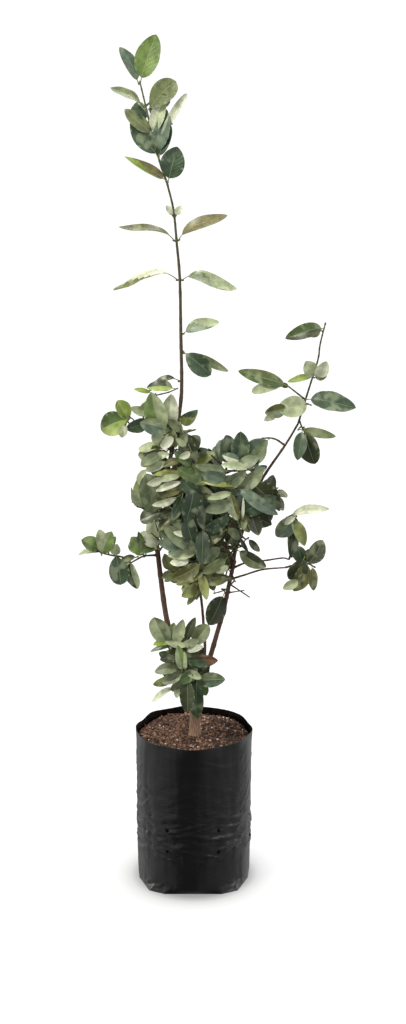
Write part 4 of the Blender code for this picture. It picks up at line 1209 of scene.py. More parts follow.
    Mass("crown_back_left", "back_left_bough", ((-54, 26, 510), (-54, 38, 524), (-54, 46, 542)),
         tiers=3, heart=(-50, 38, 540), reach=42, leaf=40, seed=31, palette=(SAGE, MID, FOREST)),
    Mass("crown_back_right", "back_right_bough", ((64, 26, 506), (66, 38, 520), (68, 48, 536)),
         tiers=3, heart=(64, 40, 536), reach=42, leaf=40, seed=37, palette=(DEEP, MID, SAGE)),
    Mass("crown_back_low", "middle_stem", ((13, 16, 384), (10, 30, 408), (6, 42, 432)),
         tiers=2, heart=(8, 38, 440), reach=40, leaf=40, seed=41, palette=(MID, OLIVE, SAGE)),
    Mass("crown_back_top", "inner_bough", ((40, 10, 545), (28, 24, 566), (12, 32, 584)),
         tiers=3, heart=(2, 30, 588), reach=42, leaf=38, seed=43, palette=(BLUE, MID, SAGE)),
)


# ---- the leaves


@dataclass(frozen=True)
class PlacedLeaf:
    """A leaf where it grows: its root, its direction, its upper side, its size and its paint."""

    root: Vector
    along: Vector
    upper: Vector
    length: float
    width: float
    paint: Paint
    arch: float = 0.07
    belly: float = 0.46

    def spine(self, share: float) -> Vector:
        """Return the point of the arched midrib at a share of the length."""
        rise = 6.75 * self.arch * self.length * share * (1 - share) ** 2
        return self.root + self.along * (share * self.length) + self.upper * rise

    def solid(self, start: float, wide: float, swell: float) -> Solid:
        """Return a plain wedge that stands for the leaf, for telling what it would touch.

        Args:
            start: the share of the length at which it begins.
            wide: its width as a share of the leaf's.
            swell: how much thicker it is on every side.

        Returns:
            Its vertices and faces.
        """
        side = self.upper.cross(self.along).normalized()
        half = 0.5 * self.width * wide + swell
        thin = 0.4 * MM + swell
        verts = []
        for share, breadth in ((start, thin), (0.52, half)):
            middle = self.spine(share)
            verts += [middle + side * breadth + self.upper * thin,
                      middle - side * breadth + self.upper * thin, middle - self.upper * thin]
        verts.append(self.root + self.along * (self.length + swell))
        faces = [(s, (s + 1) % 3, 3 + (s + 1) % 3, 3 + s) for s in range(3)]
        faces += [(3 + s, 3 + (s + 1) % 3, 6) for s in range(3)]
        return verts, [*faces, (2, 1, 0)]


@dataclass(frozen=True)
class Blade:
    """How a leaf is cut and bent: an oval blade on a thin petiole, keeled and waved."""

    stations: int = 13
    columns: tuple[float, ...] = (0.045, 0.36, 0.70, 1.0)  # shares of the half width
    petiole: float = 0.12  # share of the length
    petiole_sides: int = 6
    thickness: float = 0.42 * MM
    rib_depth: float = 0.45 * MM
    narrowest: float = 0.9 * MM  # half the width of the blade's foot
    taper: float = 1.32  # 1 is an ellipse, and more draws out both ends

    def half_width(self, share: float, belly: float) -> float:
        """Return the half width at a share of the blade as a share of the widest.

        Args:
            share: 0 at the foot of the blade and 1 at its tip.
            belly: where it is widest.

        Returns:
            A number from 0 to 1.
        """
        foot, tip = self.taper * belly, self.taper * (1 - belly)
        return share**foot * (1 - share) ** tip / (belly**foot * (1 - belly) ** tip)

    def add(self, leaf: PlacedLeaf, rng: random.Random, draft: Draft, slots: dict) -> None:
        """Add a leaf to a draft.

        Args:
            leaf: where it grows and how large it is.
            rng: what its twist, sway and waves are drawn from.
            draft: the mesh that it joins.
            slots: the material number for each tone and side.
        """
        side = leaf.upper.cross(leaf.along).normalized()
        twist = rng.uniform(-0.22, 0.22)
        sway = rng.uniform(-0.05, 0.05) * leaf.length
        keel = rng.uniform(0.16, 0.42)
        wave = rng.uniform(0.010, 0.035) * leaf.width
        waves = rng.uniform(1.4, 2.6)
        phase = rng.uniform(0.0, math.tau)
        hook = rng.uniform(0.0, 0.05) * leaf.length
        spread = [-u for u in reversed(self.columns)] + list(self.columns)
        verts: list[Vector] = []
        spots: list[tuple[float, float]] = []
        for k in range(self.stations):
            share = 0.5 * (k / self.stations) + 0.25 * (1 - math.cos(math.pi * k / self.stations))
            t = self.petiole + (1 - self.petiole) * share
            middle = (leaf.spine(t) + side * sway * math.sin(math.pi * share)
                      - leaf.upper * hook * share**3)
            turn = Matrix.Rotation(twist * share, 3, leaf.along)
            out, high = turn @ side, turn @ leaf.upper
            half = max(self.narrowest, 0.5 * leaf.width * self.half_width(share, leaf.belly))
            quilt = 0.010 * leaf.width * (1 if k % 2 else -1)
            beat = math.tau * waves * share + phase
            for u, above in (*((u, True) for u in spread), *((u, False) for u in spread[1:-1])):
                margin = abs(u)
                lift = keel * half * margin**1.3 + quilt * 4 * margin * (1 - margin)
                lift += wave * math.sin(beat + (1.3 if u > 0 else 0.0)) * margin**2
                rib = self.rib_depth * (1 - share) if margin < 0.1 else 0.0
                lift += 0.5 * self.thickness * (1 - margin) if above else -(0.5 * self.thickness + rib)
                verts.append(middle + out * (u * half) + high * lift)
                spots.append((0.5 + 0.5 * u, t))
        verts.append(leaf.spine(1.0) - leaf.upper * hook)
        spots.append((0.5, 1.0))
        faces, sides, places = self._skin(spread)
        draft.add((verts, faces), [slots[leaf.paint.at(*p), s] for p, s in zip(places, sides)], spots)
        self._add_petiole(leaf, draft, 0)

    def _skin(self, spread: Sequence[float]) -> tuple[list[tuple[int, ...]], list[Side],
                                                      list[tuple[float, float]]]:
        """Return the faces of a blade.

        Args:
            spread: its columns from the right margin to the left one.

        Returns:
            The faces, the side that each is on, and its place across and along the blade.
        """
        wide = len(spread)
        ring = 2 * wide - 2
        top = list(range(wide))
        bottom = [0, *range(wide, ring), wide - 1]
        faces: list[tuple[int, ...]] = []
        sides: list[Side] = []
        places: list[tuple[float, float]] = []
        for k in range(self.stations):
            here, there = k * ring, (k + 1) * ring
            last = k == self.stations - 1
            for row, kind in ((top, Side.UPPER), (bottom, Side.UNDER)):
                for c, (a, b) in enumerate(zip(row, row[1:])):
                    quad = (here + a, here + b, there) if last else (here + a, here + b, there + b, there + a)
                    faces.append(quad if kind is Side.UPPER else tuple(reversed(quad)))
                    sides.append(Side.RIB if 2 * c == wide - 2 else kind)
                    places.append((spread[c] + spread[c + 1], (k + 0.5) / self.stations))
        faces.append(tuple([*reversed(top), *bottom[1:-1]]))
        sides.append(Side.UNDER)
        places.append((0.0, 0.0))
        return faces, sides, places

    def _add_petiole(self, leaf: PlacedLeaf, draft: Draft, slot: int) -> None:
        """Add the stalk, from inside its twig to under the foot of the blade.

        Args:
            leaf: the leaf.
            draft: the mesh that it joins.
            slot: the material number.
        """
        path = [leaf.spine(self.petiole * 1.9 * k / 5) for k in range(6)]
        thick = min(1.0, leaf.length / (45 * MM)) * 0.75 * MM
        radii = [thick * f for f in (1.25, 0.95, 0.85, 0.85, 0.70, 0.35)]
        draft.add(tube(path, radii, self.petiole_sides), slot)


# ---- growth


class Space:
    """What stands where: the solids already placed, and the cells of the seeded masses."""

    def __init__(self, masses: Iterable[Mass]) -> None:
        """Take the cell of each mass that is seeded throughout."""
        self.placed: list[tuple[str, Vector, Vector, BVHTree]] = []
        self.cells = {m.name: (Vector(m.heart) * MM, m.reach * MM) for m in masses if m.tiers and not m.shy}

    @staticmethod
    def _box(verts: Sequence[Vector]) -> tuple[Vector, Vector]:
        """Return the lowest and the highest corner round vertices."""
        return (Vector(min(v[i] for v in verts) for i in range(3)),
                Vector(max(v[i] for v in verts) for i in range(3)))

    def put(self, owner: str, solid: Solid) -> None:
        """Remember a solid of an owner."""
        self.placed.append((owner, *self._box(solid[0]), BVHTree.FromPolygons(*solid)))

    def free(self, owner: str, solid: Solid, own: bool) -> bool:
        """Tell whether a solid touches nothing of its owner's, or nothing of all the others'.

        Args:
            owner: the name of the mass or limb that it belongs to.
            solid: its vertices and faces.
            own: whether to look at its owner's solids or at the others'.

        Returns:
            True if it touches none of them.
        """
        low, high = self._box(solid[0])
        tree = BVHTree.FromPolygons(*solid)
        return not any(
            (name == owner) == own
            and all(low[i] <= far[i] and near[i] <= high[i] for i in range(3))
            and tree.overlap(other)
            for name, near, far, other in self.placed)

    def inside(self, mass: Mass, points: Iterable[Vector], margin: float) -> bool:
        """Tell whether all points lie in a mass's cell.

        Args:
            mass: the mass.
            points: what is asked about.
            margin: how far they may pass into a neighbour's cell.

        Returns:
            True if they keep to it.
        """
        heart, reach = Vector(mass.heart) * MM, mass.reach * MM
        for point in points:
            own = (point - heart).length_squared - reach**2
            if own > 0.0:
                return False
            for other, (centre, radius) in self.cells.items():
                beyond = (point - centre).length_squared - radius**2 - own
                if other != mass.name and beyond < -2 * margin * (centre - heart).length:
                    return False
        return True


@dataclass
class Shoot:
    """A grown twig with its radii."""

    path: Path
    foot: float
    tip: float


@dataclass
class Growth:
    """Grows the twigs and leaves of every mass by the rule that its solid was grown by."""

    space: Space
    view: View
    stem_radii: tuple[float, float] = (1.5 * MM, 1.0 * MM)  # at the foot and at the tip
    twig_radii: tuple[float, float] = (1.3 * MM, 0.9 * MM)
    shoot_foot: float = 1.3 * MM
    shoot_tip: float = 0.8 * MM
    twiglet_foot: float = 1.0 * MM
    snap: float = 3 * MM  # how near a listed leaf's foot must be to sit on a twig as it is
    clearance: float = 0.4 * MM
    overlap: float = 8 * MM  # how far neighbouring masses may reach into each other
    past_reach: float = 120 * MM  # how far a listed leaf is looked for past a seeded one
    extra_tiers: int = 1
    lowest_tier: float = 0.36  # where on its stem the first pair of side shoots stands
    tiers_run: float = 0.62  # how much of the stem the others take
    stray: float = 0.7  # how far a side shoot turns out of its tier, in radians
    shoot_reach: tuple[float, float] = (0.50, 0.74)  # its length, as shares of the mass's reach
    shorter: tuple[float, ...] = (1.0, 0.9, 0.8, 0.7, 0.6)  # what is tried until it has room
    smaller: tuple[float, ...] = (1.0, 0.95, 0.9, 0.85, 0.8, 0.75, 0.7, 0.65)  # the same for a leaf
    sizes: tuple[float, float] = (0.85, 1.15)
    slimness: tuple[float, float] = (0.50, 0.70)  # a leaf's width, as shares of its length
    own_tones: float = 0.3  # the share of leaves that don't take the tone of their spray
    places: tuple[float, ...] = (0.36, 0.62, 0.82, 0.97)
    larger: float = 1.25  # how much larger than in the tables the seeded leaves are
    shoots: dict[str, list[Shoot]] = field(default_factory=dict)
    leaves: dict[str, list[PlacedLeaf]] = field(default_factory=dict)
    listed: Solid = field(default_factory=lambda: ([], []))
    front: BVHTree | None = None

    def place(self, mass: Mass, carrier: Path) -> None:
        """Grow the stem of a mass, its twigs and the leaves in its table.

        Args:
            mass: what to grow.
            carrier: the middle line of the limb that it grows from.
        """
        points = [Vector(p) * MM for p in mass.stem]
        points[0] = nearest_on_limb(points[0], carrier)
        stem = smooth_path(points, 5 * MM)
        self.shoots[mass.name] = []
        self.leaves[mass.name] = []
        self._add_twig(mass.name, stem, *self.stem_radii)
        for twig in mass.twigs:
            points = [Vector(p) * MM for p in twig]
            points[0] = min(stem[1:], key=lambda p: (p - points[0]).length)
            self._add_twig(mass.name, smooth_path(points, 4 * MM), *self.twig_radii)
        rng = random.Random(mass.seed)
        for paint, *rows in mass.leaves:
            for row in rows:
                leaf = row if isinstance(row, Leaf) else Sight(*row).leaf(self.view)
                root = Vector((leaf.x, leaf.y, leaf.z)) * MM
                course = self._leaning(root, leaf, rng.uniform(*mass.lean))
                roll = math.radians(rng.uniform(-mass.roll, mass.roll))
                self._add_listed(mass.name, paint if isinstance(paint, Paint) else Paint(paint), leaf,
                                 root, course, roll)

    def _add_twig(self, name: str, path: Path, foot: float, tip: float) -> None:
        """Keep a twig and remember where it stands."""
        self.shoots[name].append(Shoot(path, foot, tip))
        self.space.put(name, tube(path, tapered(path, foot, tip), 3))

    def _leaning(self, root: Vector, row: Leaf, lean: float) -> Vector:
        """Return a listed leaf's course from foot to tip, once it leans towards or off the eye.

        Args:
            root: the foot of the leaf.
            row: the leaf as it is seen from the front.
            lean: how far its tip goes back, as a share of its length.

        Returns:
            The course, which is seen in the same place as the upright one.
        """
        tip = root + front_course(row.turn) * row.length * MM
        sight = tip - Vector(self.view.eye)
        return tip + sight * (lean * row.length * MM / sight.y) - root

    def _add_listed(self, name: str, paint: Paint, row: Leaf, root: Vector, course: Vector,
                    roll: float) -> None:
        """Keep a leaf from a table, on the nearest twig or on a twiglet that reaches it.

        Args:
            name: the mass.
            paint: the leaf's paint.
            row: the leaf.
            root: the foot of its petiole.
            course: the way from there to its tip.
            roll: how far it is turned about its midrib.
        """
        along = course.normalized()
        upper = Matrix.Rotation(roll, 3, along) @ upper_way(row.face, along)
        width = row.width * MM / math.cos(roll)
        near = min((p for shoot in self.shoots[name] for p in shoot.path[1:]),
                   key=lambda p: (root - p).length - 0.35 * (root - p).dot(along))
        if (root - near).length > self.snap:
            bend = near.lerp(root, 0.55) - along * (0.12 * (root - near).length)
            self._add_twig(name, smooth_path([near, bend, root], 4 * MM), self.twiglet_foot, self.shoot_tip)
        else:
            root = near
        leaf = PlacedLeaf(root, along, upper, course.length, width, paint, row.arch, row.belly)
        self.leaves[name].append(leaf)
        shape = leaf.solid(0.0, 1.0, 0.0)
        self.space.put(name, shape)
        start = len(self.listed[0])
        self.listed[0].extend(shape[0])
        self.listed[1].extend(tuple(start + v for v in face) for face in shape[1])

    def fill(self, mass: Mass) -> None:
        """Add the side shoots and leaves that the seeded rule gives, where there is room.

        Args:
            mass: what to fill.
        """
        if not mass.tiers:
            return
        self.front = self.front or BVHTree.FromPolygons(*self.listed)
        rng = random.Random(mass.seed)
        stem = self.shoots[mass.name][0].path
        for paths in self._side_shoots(mass, stem, rng):
            tone = rng.choice(mass.palette)
            path = next((p for p in paths if self._has_room(mass, p)), None)
            if not path:
                continue
            grown = 0
            for tries in self._side_leaves(mass, path, tone, rng):
                leaf = next((t for t in tries if self._fits(mass, t)), None)
                if leaf:
                    self.leaves[mass.name].append(leaf)
                    self.space.put(mass.name, leaf.solid(0.0, 0.9, 0.0))
                    grown += 1
            if grown:
                self._add_twig(mass.name, path, self.shoot_foot, self.shoot_tip)

    def _side_shoots(self, mass: Mass, stem: Path, rng: random.Random) -> Iterator[list[Path]]:
        """Yield each side shoot of a mass, as a few paths that it may take.

        Shoots stand in pairs on the stem, each pair turned a quarter turn from the last.

        Args:
            mass: the mass.
            stem: the middle line of its stem.
            rng: what turns and lengths are drawn from.

        Returns:
            Each shoot in turn, as a list of paths.
        """
        tiers = mass.tiers + self.extra_tiers
        for tier in range(tiers + 1):
            foot, axis = point_along(stem, self.lowest_tier + self.tiers_run * tier / tiers)
            across = square_to(Vector((1.0, 0.2, 0.1)), axis)
            for side in (0, math.pi):
                tries = []
                for shrink in self.shorter:
                    turn = math.pi / 2 * tier + side + rng.uniform(-self.stray, self.stray)
                    lateral = Matrix.Rotation(turn, 3, axis) @ across
                    course = (axis * 0.35 + lateral + UP * 0.15).normalized()
                    length = mass.reach * MM * rng.uniform(*self.shoot_reach) * shrink
                    bent = (course + UP * 0.12).normalized()
                    tries.append(smooth_path([foot, foot + course * length * 0.5,
                                              foot + bent * length], 4 * MM))
                yield tries

    def _side_leaves(self, mass: Mass, path: Path, tone: Tone,
                     rng: random.Random) -> Iterator[list[PlacedLeaf]]:
        """Yield the leaves of a side shoot, each as a few ways in which it may grow.

        Args:
            mass: the mass.
            path: the middle line of the side shoot.
            tone: the tone of the spray.
            rng: what courses and sizes are drawn from.

        Returns:
            Each leaf in turn, as a list of ways.
        """
        heart = Vector(mass.heart) * MM
        for pair, place in enumerate(self.places):
            spot, ahead = point_along(path, place)
            level = ahead.cross(UP).normalized() if pair % 2 else square_to(UP, ahead)
            away = (spot - heart).normalized()
            for way in (1, -1):
                own_tone = rng.choice(mass.palette) if rng.random() < self.own_tones else tone
                tries = []
                for shrink in self.smaller:
                    along = (ahead * rng.uniform(0.4, 1.0) + level * way * rng.uniform(0.6, 1.2)
                             + away * rng.uniform(0.0, 0.6) - UP * rng.uniform(0.0, 0.5)).normalized()
                    look = UP * 0.6 + away * rng.uniform(0.4, 1.0) + FRONT * rng.uniform(-0.2, 0.9)
                    size = mass.leaf * MM * self.larger * rng.uniform(*self.sizes) * shrink
                    tries.append(PlacedLeaf(spot, along, square_to(look, along), size,
                                            size * rng.uniform(*self.slimness), Paint(own_tone),
                                            rng.uniform(0.04, 0.12), rng.uniform(0.42, 0.52)))
                yield tries

    def _fits(self, mass: Mass, leaf: PlacedLeaf) -> bool:
        """Tell whether a seeded leaf has room and stands before no listed one.

        Args:
            mass: the mass that it would belong to.
            leaf: the leaf.

        Returns:
            True if it may grow.
        """
        test = leaf.solid(0.2, 0.95, 0.0)
        points = [*test[0][3:], leaf.spine(0.75)]
        if any(self._listed_past(point, 1) for point in points):
            return False
        if mass.shy and not all(self._listed_past(point, -1) for point in points):
            return False
        return (self.space.inside(mass, test[0][3:], self.overlap)
                and self.space.free(mass.name, test, own=False)
                and self.space.free(mass.name, leaf.solid(0.3, 0.8, 0.0), own=True))

    def _listed_past(self, point: Vector, way: int) -> bool:
        """Tell whether a listed leaf lies behind (1) or before (-1) a point, seen from the eye."""
        sight = (point - Vector(self.view.eye)).normalized()
        return bool(self.front.ray_cast(point, sight * way, self.past_reach)[0])

    def _has_room(self, mass: Mass, path: Path) -> bool:
        """Tell whether a side shoot has room.

        Args:
            mass: the mass that it would belong to.
            path: its middle line.

        Returns:
            True if it may grow.
        """
        if mass.shy and not all(self._listed_past(point, -1) for point in path[2::2]):
            return False
        radii = tapered(path, self.shoot_foot + self.clearance, self.shoot_tip + self.clearance)
        return (self.space.inside(mass, path, self.overlap)
                and self.space.free(mass.name, tube(path, radii, 3), own=False))


def nearest_on_limb(point: Vector, carrier: Path) -> Vector:
    """Return the point of a limb's middle line that lies nearest to a point."""
    return min(carrier, key=lambda spot: (spot - point).length)


# ---- the plant


def in_groups() -> dict[str, tuple[str, ...]]:
    """Return the pieces that the foliage is joined into, each with the masses in it.

    Returns:
        The masses' names by the pieces' names.
    """
    names = [mass.name for mass in MASSES]
    back = tuple(n for n in names if n.startswith("crown_back"))
    high = ("crown_neck", "crown_top", "crown_upper")
    low = ("crown_low", "crown_low_right")
    sides = tuple(n for n in names if n.startswith("crown_") and n not in (*back, *high, *low))
    return {
        "leader_leaves": (*(row[0] for row in LEADER_LEAVES), "leader_tip_tuft"),
        "right_bough_leaves": ("right_bough_shoot", "right_bough_side_leaf"),
        "right_spray_leaves": ("right_spray_upper", "right_spray_lower", "lone_dark_leaf", "fork_leaves"),
        "left_spray_leaves": ("left_spray_inner", "left_spray_outer", "upper_left_spray"),
        "base_tuft_leaves": ("base_tuft_upper", "base_tuft_lower"),
        "crown_leaves_high": high,
        "crown_leaves_middle": sides,
        "crown_leaves_low": low,
        "crown_leaves_back": back,
    }


@dataclass
class Foliage:
    """All leaves, in joined pieces, and the twigs that carry them."""

    growth: Growth
    blade: Blade = field(default_factory=Blade)
    twig_sides: int = 7
    node_spacing: float = 9 * MM
    seed: int = 77

    def build(self) -> None:
        """Make a piece of each group of masses and one of all their twigs."""
        stalk = RibFinish().material()
        finishes = {tone: LeafFinish(tone) for tone in Tone}
        upper = {tone: finish.upper() for tone, finish in finishes.items()}
        under = {tone: finish.under() for tone, finish in finishes.items()}
        rib = {tone: finish.rib() for tone, finish in finishes.items()}
        rng = random.Random(self.seed)
        for piece_name, masses in in_groups().items():
            leaves = [leaf for name in masses for leaf in self.growth.leaves[name]]
            paints = {leaf.paint for leaf in leaves}
            tones = sorted({t for p in paints for t in (p.tone, p.other) if t}, key=lambda tone: tone.name)
            materials = [stalk]
            slots = {}
            for tone in tones:
                slots[tone, Side.UPPER] = len(materials)
                slots[tone, Side.UNDER] = len(materials) + 1
                slots[tone, Side.RIB] = len(materials) + 2
                materials += [upper[tone], under[tone], rib[tone]]
            draft = Draft()
            for leaf in leaves:
                self.blade.add(leaf, rng, draft, slots)
            settle(draft.piece(piece_name, materials), masses)
        self._build_twigs(rng)

    def _build_twigs(self, rng: random.Random) -> None:
        """Make the piece of all twigs, each with swollen nodes and a bud at its tip.

        Args:
            rng: what the places of the nodes are drawn from.
        """
        draft = Draft()
        for shoots in self.growth.shoots.values():
            for shoot in shoots:
                path = smooth_path([shoot.path[0], *shoot.path[1:-1:2], shoot.path[-1]], 1.5 * MM)
                run = lengths_along(path)
                whole = whole_length(path)
                turns = max(1, round(whole / self.node_spacing))
                shift = rng.uniform(0.0, 1.0)
                radii = []
                for at in run:
                    ring = abs(((at * turns + shift) % 1.0) - 0.5)
                    swell = 0.28 * MM * max(0.0, 1.0 - ring * whole / turns / (1.6 * MM))
                    radii.append(shoot.foot + (shoot.tip - shoot.foot) * at + swell)
                draft.add(tube(path, radii, self.twig_sides))
                self._add_bud(path, shoot.tip, min(1.0, whole / self.node_spacing), draft)
        bark = BarkFinish("twig_bark", (0.11, 0.10, 0.045), (0.11, 0.10, 0.045), (0.10, 0.085, 0.040),
                          (0.11, 0.11, 0.048), (0.13, 0.15, 0.060), (0.30, 0.27, 0.16))
        settle(draft.piece("twigs", [bark.material()]), ())

    def _add_bud(self, path: Path, radius: float, size: float, draft: Draft) -> None:
        """Add the pointed bud at a twig's tip, smaller on a short one.

        Args:
            path: the middle line of the twig.
            radius: its radius at the tip.
            size: 1 on a long twig, and less on a short one.
            draft: the mesh that it joins.
        """
        ahead = (path[-1] - path[-2]).normalized()
        spots = (0.0, 0.8, 1.8, 2.8, 3.6)
        widths = (0.9, 1.5, 1.35, 0.8, 0.15)
        points = [path[-1] + ahead * (s * size * MM) for s in spots]
        draft.add(tube(points, [radius * w for w in widths], self.twig_sides))


@dataclass
class Woodwork:
    """The trunk, the three stems and their boughs, grown together in one skin of bark."""

    foot_depth: float = 6 * MM  # how far the trunk's flare runs under the mix
    trunk_x: float = 2 * MM
    trunk_radius: float = 8 * MM
    flare: float = 3.6 * MM
    trunk_top: float = 262 * MM
    soil: float = 205 * MM
    voxel: float = 0.85 * MM
    step: float = 3 * MM
    sides: int = 14
    flare_height: float = 7 * MM
    fork_swell: float = 1.4 * MM
    fork_depth: float = 8 * MM  # how far under its top the trunk is swollen most
    fork_spread: float = 10 * MM
    scar_spacing: float = 36 * MM
    scar_swell: float = 0.14  # share of the limb's radius
    scar_width: float = 2.2 * MM
    collar_swell: float = 0.35  # the same, where a bough leaves its stem
    collar_width: float = 5 * MM
    relief: float = 0.16 * MM
    seed: int = 5

    def paths(self) -> dict[str, Path]:
        """Return the middle line of each limb and of the trunk.

        Returns:
            The middle lines by the limbs' names.
        """
        found = {"trunk": smooth_path([Vector((self.trunk_x, 0.0, self.soil - self.foot_depth)),
                                       Vector((self.trunk_x, 0.0, self.trunk_top))], self.step)}
        for limb in LIMBS:
            points = [Vector(p) * MM for p in limb.points]
            if limb.carrier:
                points[0] = nearest_on_limb(points[0], found[limb.carrier])
            else:
                points.insert(0, Vector((self.trunk_x + 0.4 * (points[0].x - self.trunk_x),
                                         0.4 * points[0].y, points[0].z - 16 * MM)))
            found[limb.name] = smooth_path(points, self.step)
        return found

    def _limb_radii(self, limb: Limb, path: Path, rng: random.Random) -> list[float]:
        """Return a limb's radii: its taper, a collar at its foot and scars along it.

        Args:
            limb: the limb.
            path: its middle line.
            rng: what shifts its scars.

        Returns:
            A radius for each point of the path.
        """
        run = lengths_along(path)
        whole = whole_length(path)
        count = max(1, round(whole / self.scar_spacing))
        shift = rng.uniform(0.2, 0.8)
        radii = []
        for at in run:
            radius = (limb.foot + (limb.tip - limb.foot) * at) * MM
            ring = abs(((at * count + shift) % 1.0) - 0.5) * whole / count
            radius_here = radius + self.scar_swell * radius * math.exp(-((ring / self.scar_width) ** 2))
            if limb.carrier:
                collar = math.exp(-((at * whole / self.collar_width) ** 2))
                radius_here += self.collar_swell * radius * collar
            radii.append(radius_here)
        return radii

    def _trunk_radii(self, path: Path) -> list[float]:
        """Return the trunk's radii: flared at the mix and swollen under the fork.

        Args:
            path: its middle line.

        Returns:
            A radius for each point of the path.
        """
        radii = []
        for point in path:
            above = point.z - self.soil
            flare = self.flare * math.exp(-max(0.0, above) / self.flare_height)
            under = point.z - self.trunk_top + self.fork_depth
            fork = self.fork_swell * math.exp(-((under / self.fork_spread) ** 2))
            radii.append(self.trunk_radius - 0.5 * MM + flare + fork)
        return radii

    def build(self) -> dict[str, Path]:
        """Make the piece and return the middle line of each limb.

        Returns:
            The middle lines by the limbs' names.
        """
        rng = random.Random(self.seed)
        paths = self.paths()
        draft = Draft()
        draft.add(tube(paths["trunk"], self._trunk_radii(paths["trunk"]), self.sides))
        for limb in LIMBS:
            path = paths[limb.name]
            draft.add(tube(path, self._limb_radii(limb, path, rng), self.sides))
        rough = draft.piece("rough_wood", [])
        fuse = rough.modifiers.new("fuse", "REMESH")
        fuse.mode = "VOXEL"
        fuse.voxel_size = self.voxel
        fuse.use_smooth_shade = True
        ease = rough.modifiers.new("ease", "SMOOTH")
        ease.factor = 0.5
        ease.iterations = 3
        graph = bpy.context.evaluated_depsgraph_get()
        mesh = bpy.data.meshes.new_from_object(rough.evaluated_get(graph))
        bpy.data.objects.remove(rough)
        self._press_bark(mesh)
        mesh.materials.append(BarkFinish().material())
        mesh.shade_smooth()
        wood = bpy.data.objects.new("woody_stems", mesh)
        bpy.context.scene.collection.objects.link(wood)
        settle(wood, ("trunk", *(limb.name for limb in LIMBS)))
        return paths

    def _press_bark(self, mesh: bpy.types.Mesh) -> None:
        """Raise the bark's ridges and warts, deeper towards the foot of the plant.

        Args:
            mesh: the mesh of the wood.
        """
        places = [v.co.copy() for v in mesh.vertices]
        normals = [v.normal.copy() for v in mesh.vertices]
        for vert, place, normal in zip(mesh.vertices, places, normals):
            drawn = Vector((place.x, place.y, place.z * 0.16))
            ridges = noise.fractal(drawn * 620.0, 1.0, 2.0, 3)
            warts = max(0.0, noise.noise(place * 420.0) - 0.35)
            deep = 1.0 + 1.6 * max(0.0, 1.0 - (place.z - self.soil) / (70 * MM))
            vert.co = place + normal * (self.relief * deep * (ridges + 1.6 * warts))


# ---- the bag


@dataclass(frozen=True)
class Crease:
    """A crease in the film: where it is, how it runs, and how deep it is."""

    turn: float
    height: float
    length: float
    slope: float  # rise over run
    width: float
    depth: float


